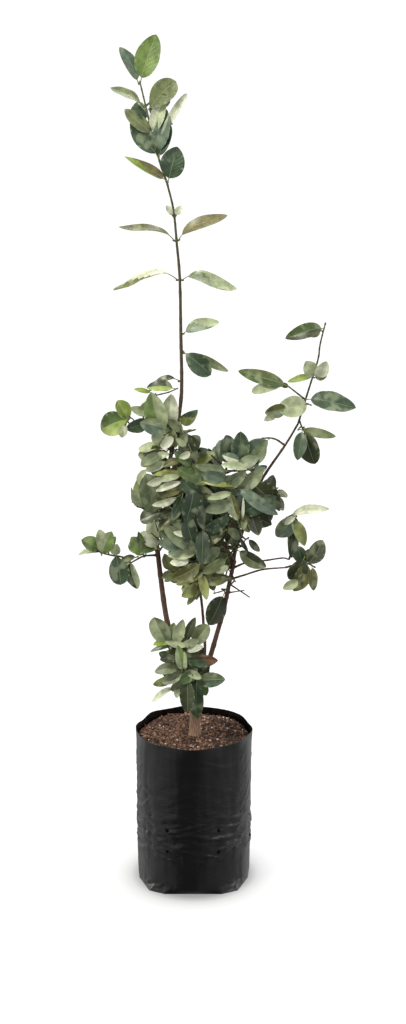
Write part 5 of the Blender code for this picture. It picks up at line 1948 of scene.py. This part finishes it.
@dataclass
class PlanterBag:
    """The filled film bag: flat underneath, folded at the foot, creased round its drain holes."""

    height: float = 220 * MM
    rim_radius: float = 81 * MM
    foot_radius: float = 79 * MM
    film: float = 0.7 * MM
    sides: int = 288
    levels: int = 118
    hole_count: int = 7
    hole_diameter: float = 5 * MM
    hole_heights: tuple[float, ...] = (64 * MM, 96 * MM)
    hole_first_heading: float = 244
    crease_count: int = 130
    flank_creases: int = 34  # short slanting ones up both sides
    rucks: float = 0.85 * MM  # fine wrinkles round the lower half
    pleats: float = 2.6 * MM  # folds at the corners of the foot
    fold: float = 11 * MM  # how high the folded foot reaches
    quarter: tuple = ((79, 0), (77, 22), (61.5, 61.5), (40, 72), (0, 72))  # its outline, in mm
    seed: int = 21
    creases: list[Crease] = field(default_factory=list)

    def radius(self, turn: float, height: float) -> float:
        """Return the outer radius of the smooth bag at a turn and a height.

        Args:
            turn: the heading, in radians.
            height: how far up.

        Returns:
            The radius.
        """
        share = height / self.height
        radius = self.foot_radius + (self.rim_radius - self.foot_radius) * share**0.6
        lobes = 0.9 * math.cos(3 * turn + 0.7) + 0.6 * math.cos(5 * turn + 2.1)
        radius += lobes * MM * (0.35 + 0.65 * share)
        folded = max(0.0, 1.0 - height / self.fold) ** 1.4
        return radius + (self._foot_edge(turn) - radius) * folded

    def _foot_edge(self, turn: float) -> float:
        """Return how far out the folded foot reaches at a turn, by its pinched outline.

        Args:
            turn: the heading, in radians.

        Returns:
            The radius.
        """
        aim = Vector((abs(math.cos(turn)), abs(math.sin(turn))))
        corners = [Vector(corner) * MM for corner in self.quarter]
        for near, far in zip(corners, corners[1:]):
            if aim.cross(far) >= 0:
                return near.cross(far - near) / aim.cross(far - near)
        return corners[-1].length

    def _hole_turns(self) -> list[float]:
        """Return the turns of the drain holes."""
        return [math.radians(self.hole_first_heading + 360 * k / self.hole_count)
                for k in range(self.hole_count)]

    def _draw_creases(self) -> None:
        """Draw the creases: most of them round the holes and in a band under them."""
        rng = random.Random(self.seed)
        for hole in self._hole_turns():
            for k in range(8):
                self.creases.append(Crease(hole + rng.uniform(-0.16, 0.16),
                                           self.hole_heights[k % 2] + rng.uniform(-12, 4) * MM,
                                           rng.uniform(12, 30) * MM, rng.uniform(-0.5, 0.5),
                                           rng.uniform(1.2, 2.2) * MM, rng.uniform(0.6, 1.4) * MM))
        for _ in range(self.flank_creases):
            side = rng.choice((0.0, math.pi)) + rng.uniform(-0.75, 0.75)
            self.creases.append(Crease(side, rng.uniform(105, 205) * MM, rng.uniform(9, 20) * MM,
                                       rng.uniform(0.7, 1.6), rng.uniform(2.0, 4.0) * MM,
                                       rng.uniform(0.5, 1.1) * MM))
        for _ in range(self.crease_count):
            low = rng.random() < 0.72
            height = rng.triangular(40, 125, 78) if low else rng.uniform(100, 200)
            self.creases.append(Crease(rng.uniform(0, math.tau), height * MM,
                                       rng.uniform(18, 60) * MM, rng.uniform(-0.45, 0.45),
                                       rng.uniform(1.6, 4.5) * MM,
                                       rng.uniform(0.4, 1.3) * MM * (1.0 if low else 0.6)))

    def _creased(self, turn: float, height: float) -> float:
        """Return how far the creases move the film in or out at a place.

        Args:
            turn: the heading, in radians.
            height: how far up.

        Returns:
            The shift, outwards from 0.
        """
        moved = 0.0
        for crease in self.creases:
            away = (turn - crease.turn + math.pi) % math.tau - math.pi
            run = away * self.foot_radius
            if abs(run) > crease.length:
                continue
            rise = height - crease.height - crease.slope * run
            if abs(rise) > 3 * crease.width:
                continue
            across = rise / crease.width
            fade = math.cos(0.5 * math.pi * run / crease.length) ** 2
            moved += crease.depth * fade * (0.55 - across) * math.exp(-across * across)
        return moved

    def _film_point(self, turn: float, height: float) -> Vector:
        """Return the place of the outer face of the film.

        Args:
            turn: the heading, in radians.
            height: how far up.

        Returns:
            The point.
        """
        radius = self.radius(turn, height) + self._creased(turn, height)
        spot = outward(turn)
        share = height / self.height
        drape = noise.fractal(Vector((spot.x * 3.2, spot.y * 3.2, share * 1.4)), 1.0, 2.0, 3)
        radius += 0.9 * MM * drape * min(1.0, height / (12 * MM))
        ruck = noise.fractal(Vector((turn * 4.6 + 3.0, height / (10 * MM), 1.7)), 1.0, 2.0, 2)
        radius += self.rucks * ruck * math.exp(-(((height - 0.38 * self.height) / (0.24 * self.height)) ** 2))
        pleat = noise.fractal(Vector((spot.x * 5.0, spot.y * 5.0, height / (9 * MM))), 1.0, 2.0, 2)
        cornered = abs(math.sin(2 * turn)) ** 3
        low = max(0.0, 1.0 - abs(height - 7 * MM) / (12 * MM))
        radius += self.pleats * cornered * (0.5 - abs(pleat)) * low
        rim = max(0.0, 1.0 - (self.height - height) / (16 * MM))
        flats = abs(math.sin(4 * (turn + 0.08 * math.sin(2 * turn + 1.0))))
        radius += rim * (1.0 * MM - 2.6 * MM * flats**2)
        waver = rim**2 * (0.5 * MM * math.sin(3 * turn + 1.0) + 0.5 * MM * math.sin(7 * turn + 0.3))
        return Vector((radius * spot.x, radius * spot.y, height - abs(waver)))

    def _heights(self) -> list[float]:
        """Return the heights of the rings, closer together near the foot."""
        return [self.height * (k / self.levels) ** 1.15 for k in range(self.levels + 1)]

    def build(self) -> None:
        """Make the bag, with its wall thickness and its punched holes."""
        self._draw_creases()
        heights = self._heights()
        turns = all_round(self.sides)
        outside = [[self._film_point(t, h) for t in turns] for h in heights]
        rings = [*self._floor_rings(outside[0]), *outside]
        rings += [[self._inner(p, self.film) for p in ring] for ring in reversed(rings)]
        draft = Draft()
        draft.add(lofted(rings))
        bag = draft.piece("film_bag", [FilmFinish().material()])
        for height in self.hole_heights:
            for turn in self._hole_turns():
                self._punch(bag, turn, height)
        settle(bag, ("planter_bag",))

    def _inner(self, point: Vector, inset: float) -> Vector:
        """Return the place of the inner face of the film behind a point of its outer face.

        Args:
            point: a point of the outer face.
            inset: the film's thickness.

        Returns:
            The point behind it.
        """
        wide = math.hypot(point.x, point.y)
        share = max(0.0, wide - inset) / wide
        return Vector((point.x * share, point.y * share, max(point.z, inset)))

    def _floor_rings(self, edge: Sequence[Vector]) -> list[list[Vector]]:
        """Return the rings of the flat underside, from its middle to its edge."""
        return [[Vector((p.x * share, p.y * share, 0.0)) for p in edge] for share in (0.02, 0.35, 0.7, 0.9)]

    def _punch(self, bag: bpy.types.Object, turn: float, height: float) -> None:
        """Punch a drain hole through the wall at a turn and a height.

        Args:
            bag: the bag.
            turn: the heading, in radians.
            height: how far up.
        """
        radial = outward(turn)
        middle = radial * self.foot_radius + UP * height
        path = [middle - radial * (9 * MM), middle + radial * (12 * MM)]
        draft = Draft()
        draft.add(tube(path, [self.hole_diameter / 2] * 2, 20))
        cutter = draft.piece("cutter", [])
        cut = bag.modifiers.new("punch", "BOOLEAN")
        cut.operation = "DIFFERENCE"
        cut.object = cutter
        cut.solver = "EXACT"
        graph = bpy.context.evaluated_depsgraph_get()
        mesh = bpy.data.meshes.new_from_object(bag.evaluated_get(graph))
        bag.modifiers.clear()
        bag.data = mesh
        bpy.data.objects.remove(cutter)


# ---- the mix


@dataclass
class PottingMix:
    """Composted bark with white granules, heaped a little unevenly in the bag."""

    bag: PlanterBag
    level: float = 209 * MM
    edge: float = 203 * MM
    gap: float = 0.4 * MM
    sides: int = 160
    rings: int = 54
    swell: float = 1.6 * MM
    rough: float = 1.5 * MM
    chips: int = 3200
    fibres: int = 260
    granules: int = 58
    heap: float = 1.5 * MM  # how much higher it stands at the back
    trunk_x: float = 2 * MM
    trunk_radius: float = 11 * MM
    seed: int = 8

    def _edge_radius(self, turn: float, height: float) -> float:
        """Return the radius of the mix where it meets the film."""
        return self.bag.radius(turn, height) - self.bag.film - 2.2 * MM

    def surface(self, x: float, y: float) -> float:
        """Return the height of the top of the mix.

        Args:
            x: how far to the right.
            y: how far to the back.

        Returns:
            The height.
        """
        away = math.hypot(x - self.trunk_x, y)
        swell = math.sin(x / (17 * MM) + 0.6) * math.cos(y / (21 * MM)) + 0.5 * math.sin(y / (9 * MM) + 1.0)
        bumps = noise.fractal(Vector((x, y, 0.0)) * 95.0, 0.9, 2.1, 5)
        sink = max(0.0, away - 62 * MM) / (18 * MM)
        heaped = self.heap * min(1.0, max(0.0, y / (60 * MM)))
        return self.level + heaped + self.swell * 0.6 * swell + self.rough * bumps - 2.5 * MM * sink**2

    def build(self) -> None:
        """Make the mix, its chips of bark, its fibres and its white granules."""
        turns = all_round(self.sides)
        floor = self.bag.film + self.gap
        body = []
        for height in (floor, 12 * MM, 40 * MM, 120 * MM, 190 * MM):
            body.append([outward(t) * (self._edge_radius(t, height) + 1.2 * MM) + UP * height
                         for t in turns])
        for k in range(self.rings, 0, -1):
            share = (k / self.rings) ** 0.9
            ring = []
            for t in turns:
                x = self._edge_radius(t, self.edge) * share * math.cos(t)
                y = self._edge_radius(t, self.edge) * share * math.sin(t)
                ring.append(Vector((x, y, self.surface(x, y))))
            body.append(ring)
        draft = Draft()
        draft.add(lofted(body))
        settle(draft.piece("bark_mix", [MixFinish().material()]), ("potting_mix",))
        self._scatter()

    def _spot(self, rng: random.Random) -> Vector:
        """Return a random place on the top of the mix, outside the trunk.

        Args:
            rng: what it is drawn from.

        Returns:
            The place.
        """
        while True:
            turn = rng.uniform(0, math.tau)
            away = self._edge_radius(turn, self.edge) * 0.985 * math.sqrt(rng.random())
            x, y = away * math.cos(turn), away * math.sin(turn)
            if math.hypot(x - self.trunk_x, y) > self.trunk_radius:
                return Vector((x, y, self.surface(x, y)))

    def _chip(self, rng: random.Random, size: Vector) -> Solid:
        """Return a splintered block of bark about its own middle, turned at random.

        Args:
            rng: what its corners and turns are drawn from.
            size: half its length, width and thickness.

        Returns:
            Its vertices and faces.
        """
        corners = [Vector((x, y, z)) for z in (-1, 1) for x, y in ((-1, -1), (1, -1), (1, 1), (-1, 1))]
        turn = Matrix.Rotation(rng.uniform(0, math.tau), 3, "Z") @ Matrix.Rotation(
            rng.gauss(0, 0.5), 3, "X") @ Matrix.Rotation(rng.gauss(0, 0.5), 3, "Y")
        verts = [turn @ Vector(c[i] * size[i] * rng.uniform(0.55, 1.0) for i in range(3)) for c in corners]
        faces = [(3, 2, 1, 0), (4, 5, 6, 7)]
        faces += [(s, (s + 1) % 4, 4 + (s + 1) % 4, 4 + s) for s in range(4)]
        return verts, faces

    def _granule(self, rng: random.Random, radius: float) -> Solid:
        """Return a rounded, pitted granule about its own middle.

        Args:
            rng: what its pits are drawn from.
            radius: its radius.

        Returns:
            Its vertices and faces.
        """
        bm = bmesh.new()
        bmesh.ops.create_icosphere(bm, subdivisions=2, radius=radius)
        shift = Vector(rng.uniform(0, 50) for _ in range(3))
        for vert in bm.verts:
            vert.co *= 1.0 + 0.45 * noise.noise(vert.co * (0.9 / radius) + shift)
        verts = [v.co.copy() for v in bm.verts]
        faces = [tuple(v.index for v in face.verts) for face in bm.faces]
        bm.free()
        return verts, faces

    def _scatter(self) -> None:
        """Scatter the loose pieces over the mix, each kind joined into a piece."""
        rng = random.Random(self.seed)
        chips = Draft()
        for k in range(self.chips):
            size = rng.triangular(0.45, 2.2, 0.7) * MM
            block = Vector((size * rng.uniform(1.0, 1.9), size, size * rng.uniform(0.35, 0.7)))
            spot = self._spot(rng) + UP * (0.25 * size)
            verts, faces = self._chip(rng, block)
            chips.add(([v + spot for v in verts], faces), k % 3)
        for k in range(self.fibres):
            length = rng.uniform(1.8, 5.0) * MM
            spot = self._spot(rng) + UP * (0.35 * MM)
            verts, faces = self._chip(rng, Vector((length, 0.28 * MM, 0.24 * MM)))
            chips.add(([v + spot for v in verts], faces), 1 + k % 2)
        browns = (ChipFinish("chip_dark", (0.018, 0.009, 0.006), (0.062, 0.028, 0.017)),
                  ChipFinish("chip_brown", (0.075, 0.034, 0.020), (0.180, 0.086, 0.052)),
                  ChipFinish("chip_tan", (0.150, 0.078, 0.048), (0.330, 0.190, 0.125)))
        settle(chips.piece("bark_chips", [brown.material() for brown in browns], smooth=False),
               ())
        grains = Draft()
        for _ in range(self.granules):
            radius = rng.triangular(0.7, 1.7, 1.0) * MM
            spot = self._spot(rng) + UP * (0.55 * radius)
            verts, faces = self._granule(rng, radius)
            grains.add(([v + spot for v in verts], faces))
        white = ChipFinish("perlite_white", (0.58, 0.53, 0.45), (0.82, 0.78, 0.70), 0.7)
        settle(grains.piece("white_granules", [white.material()]), ())


# ---- the stage


@dataclass(frozen=True)
class SoftLight:
    """A square soft light that looks at a point."""

    name: str
    place: tuple[float, float, float]
    target: tuple[float, float, float]
    size: float
    power: float
    colour: Colour = (1.0, 1.0, 1.0)

    def hang(self) -> None:
        """Put the light in the scene."""
        lamp = bpy.data.lights.new(self.name, "AREA")
        lamp.shape = "SQUARE"
        lamp.size = self.size
        lamp.energy = self.power
        lamp.color = self.colour
        holder = bpy.data.objects.new(self.name, lamp)
        holder.location = self.place
        holder.rotation_euler = (Vector(self.target) - Vector(self.place)).to_track_quat("-Z", "Y").to_euler()
        bpy.context.scene.collection.objects.link(holder)


@dataclass
class Studio:
    """The floor, the lights, the white surround and the camera."""

    floor_radius: float = 14.0
    floor_sides: int = 96
    floor_drop: float = 0.2 * MM
    view: View = View()
    lens: float = 59.17
    sensor: float = 36.0
    seen: float = 1.05  # the surround to the eye
    soft: float = 0.55  # the surround as a light
    mirrored: float = 0.13  # the surround in the gloss, ahead and behind
    flanks: float = 0.60  # the same, to both sides
    lights: tuple[SoftLight, ...] = (
        SoftLight("key_light", (-1.7, -1.25, 2.8), (0.0, 0.0, 0.5), 0.8, 72.0, (1.0, 0.975, 0.88)),
        SoftLight("fill_light", (1.9, -1.7, 1.6), (0.0, 0.0, 0.5), 1.6, 10.0, (0.95, 0.98, 1.0)),
        SoftLight("top_light", (0.3, 0.9, 3.0), (0.0, 0.0, 0.5), 1.4, 34.0),
        SoftLight("left_strip", (-2.3, 0.45, 0.7), (0.0, 0.0, 0.3), 0.9, 8.0),
        SoftLight("right_strip", (2.3, 0.45, 0.7), (0.0, 0.0, 0.3), 0.9, 6.0),
    )

    def build(self) -> None:
        """Set up everything that isn't the plant."""
        self._lay_floor()
        self._set_surround()
        for light in self.lights:
            light.hang()
        self._set_camera()
        bpy.context.scene.view_settings.view_transform = "Standard"

    def _lay_floor(self) -> None:
        """Lay the wide round floor just under the bag."""
        draft = Draft()
        rim = [outward(t) * self.floor_radius - UP * self.floor_drop for t in all_round(self.floor_sides)]
        draft.add((rim, [tuple(range(self.floor_sides))]))
        floor = draft.piece("floor", [StageFinish().material()])
        floor.visible_diffuse = False
        floor.visible_glossy = False

    def _set_surround(self) -> None:
        """Make the surround white to the eye, softer as a light, and dim but for its flanks in the gloss."""
        painter = WorldPainter("white_surround")
        way = painter.node("ShaderNodeTexCoord", output="Generated")
        across = painter.node("ShaderNodeMapRange", {}, {"Value": painter.part(way, "X"), "From Min": -1.0})
        low, high = self.mirrored, self.flanks
        stops = ((0.0, 0.0), (0.02, high), (0.30, low), (0.52, low), (0.62, 1.5 * low),
                 (0.98, 0.75 * high), (1.0, 1.0))
        flank = painter.ramp(across, [(at, (glow, glow, glow)) for at, glow in stops])
        raised = painter.spread(painter.part(way, "Z"), -0.42, 0.15, 1.9)
        raised = raised * painter.spread(painter.part(way, "Y"), 0.15, 0.85, 2.1)
        light = painter.background((1.0, 0.985, 0.93), self.soft)
        mirrored = painter.background(flank, raised)
        seen = painter.background((1.0, 1.0, 1.0), self.seen)
        for shade, kind in ((mirrored, "Is Glossy Ray"), (seen, "Is Camera Ray")):
            light = painter.chosen(painter.node("ShaderNodeLightPath", output=kind), light, shade)
        painter.feed(painter.tree.nodes.new("ShaderNodeOutputWorld").inputs[0], light)

    def _set_camera(self) -> None:
        """Set the camera in front of the plant, looking a little down."""
        camera = bpy.data.cameras.new("camera")
        camera.lens = self.lens
        camera.sensor_width = self.sensor
        holder = bpy.data.objects.new("camera", camera)
        holder.location = self.view.eye
        holder.rotation_euler = (math.radians(90.0 - self.view.pitch), 0.0, 0.0)
        bpy.context.scene.collection.objects.link(holder)
        bpy.context.scene.camera = holder


def leader_masses(path: Path, view: View) -> list[Mass]:
    """Make masses of the single leaves up the leader, each on a stub of a stem.

    Args:
        path: the middle line of the leader.
        view: the view that the leaves are placed in.

    Returns:
        The masses.
    """
    masses = []
    for name, paint, numbers in LEADER_LEAVES:
        leaf = Sight(*numbers).leaf(view)
        root = min(path, key=lambda p: abs(p.z - leaf.z * MM)) / MM
        stub = tuple(tuple(root + front_course(leaf.turn) * far) for far in (0, 3, 4))
        leaf = replace(leaf, **dict(zip("xyz", stub[1])))
        lean = BACK if name in LEANING_BACK else FORWARD
        masses.append(Mass(name, "leader", stub, leaves=((paint, leaf),), lean=lean, roll=8))
    return masses


def main() -> None:
    """Dress the plant and its bag, and set the stage."""
    logging.basicConfig(level=logging.INFO, format="%(name)s: %(message)s")
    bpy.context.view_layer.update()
    paths = Woodwork().build()
    studio = Studio()
    masses = [*leader_masses(paths["leader"], studio.view), *MASSES]
    growth = Growth(Space(masses), studio.view)
    for limb in LIMBS:
        path = paths[limb.name]
        growth.space.put(limb.name, tube(path, tapered(path, limb.foot * MM, limb.tip * MM), 6))
    for mass in masses:
        growth.place(mass, paths[mass.limb])
    for mass in masses:
        growth.fill(mass)
    Foliage(growth).build()
    bag = PlanterBag()
    bag.build()
    PottingMix(bag).build()
    studio.build()
    LOG.info("leaves: %d", sum(len(leaves) for leaves in growth.leaves.values()))


if __name__ == "__main__":
    main()
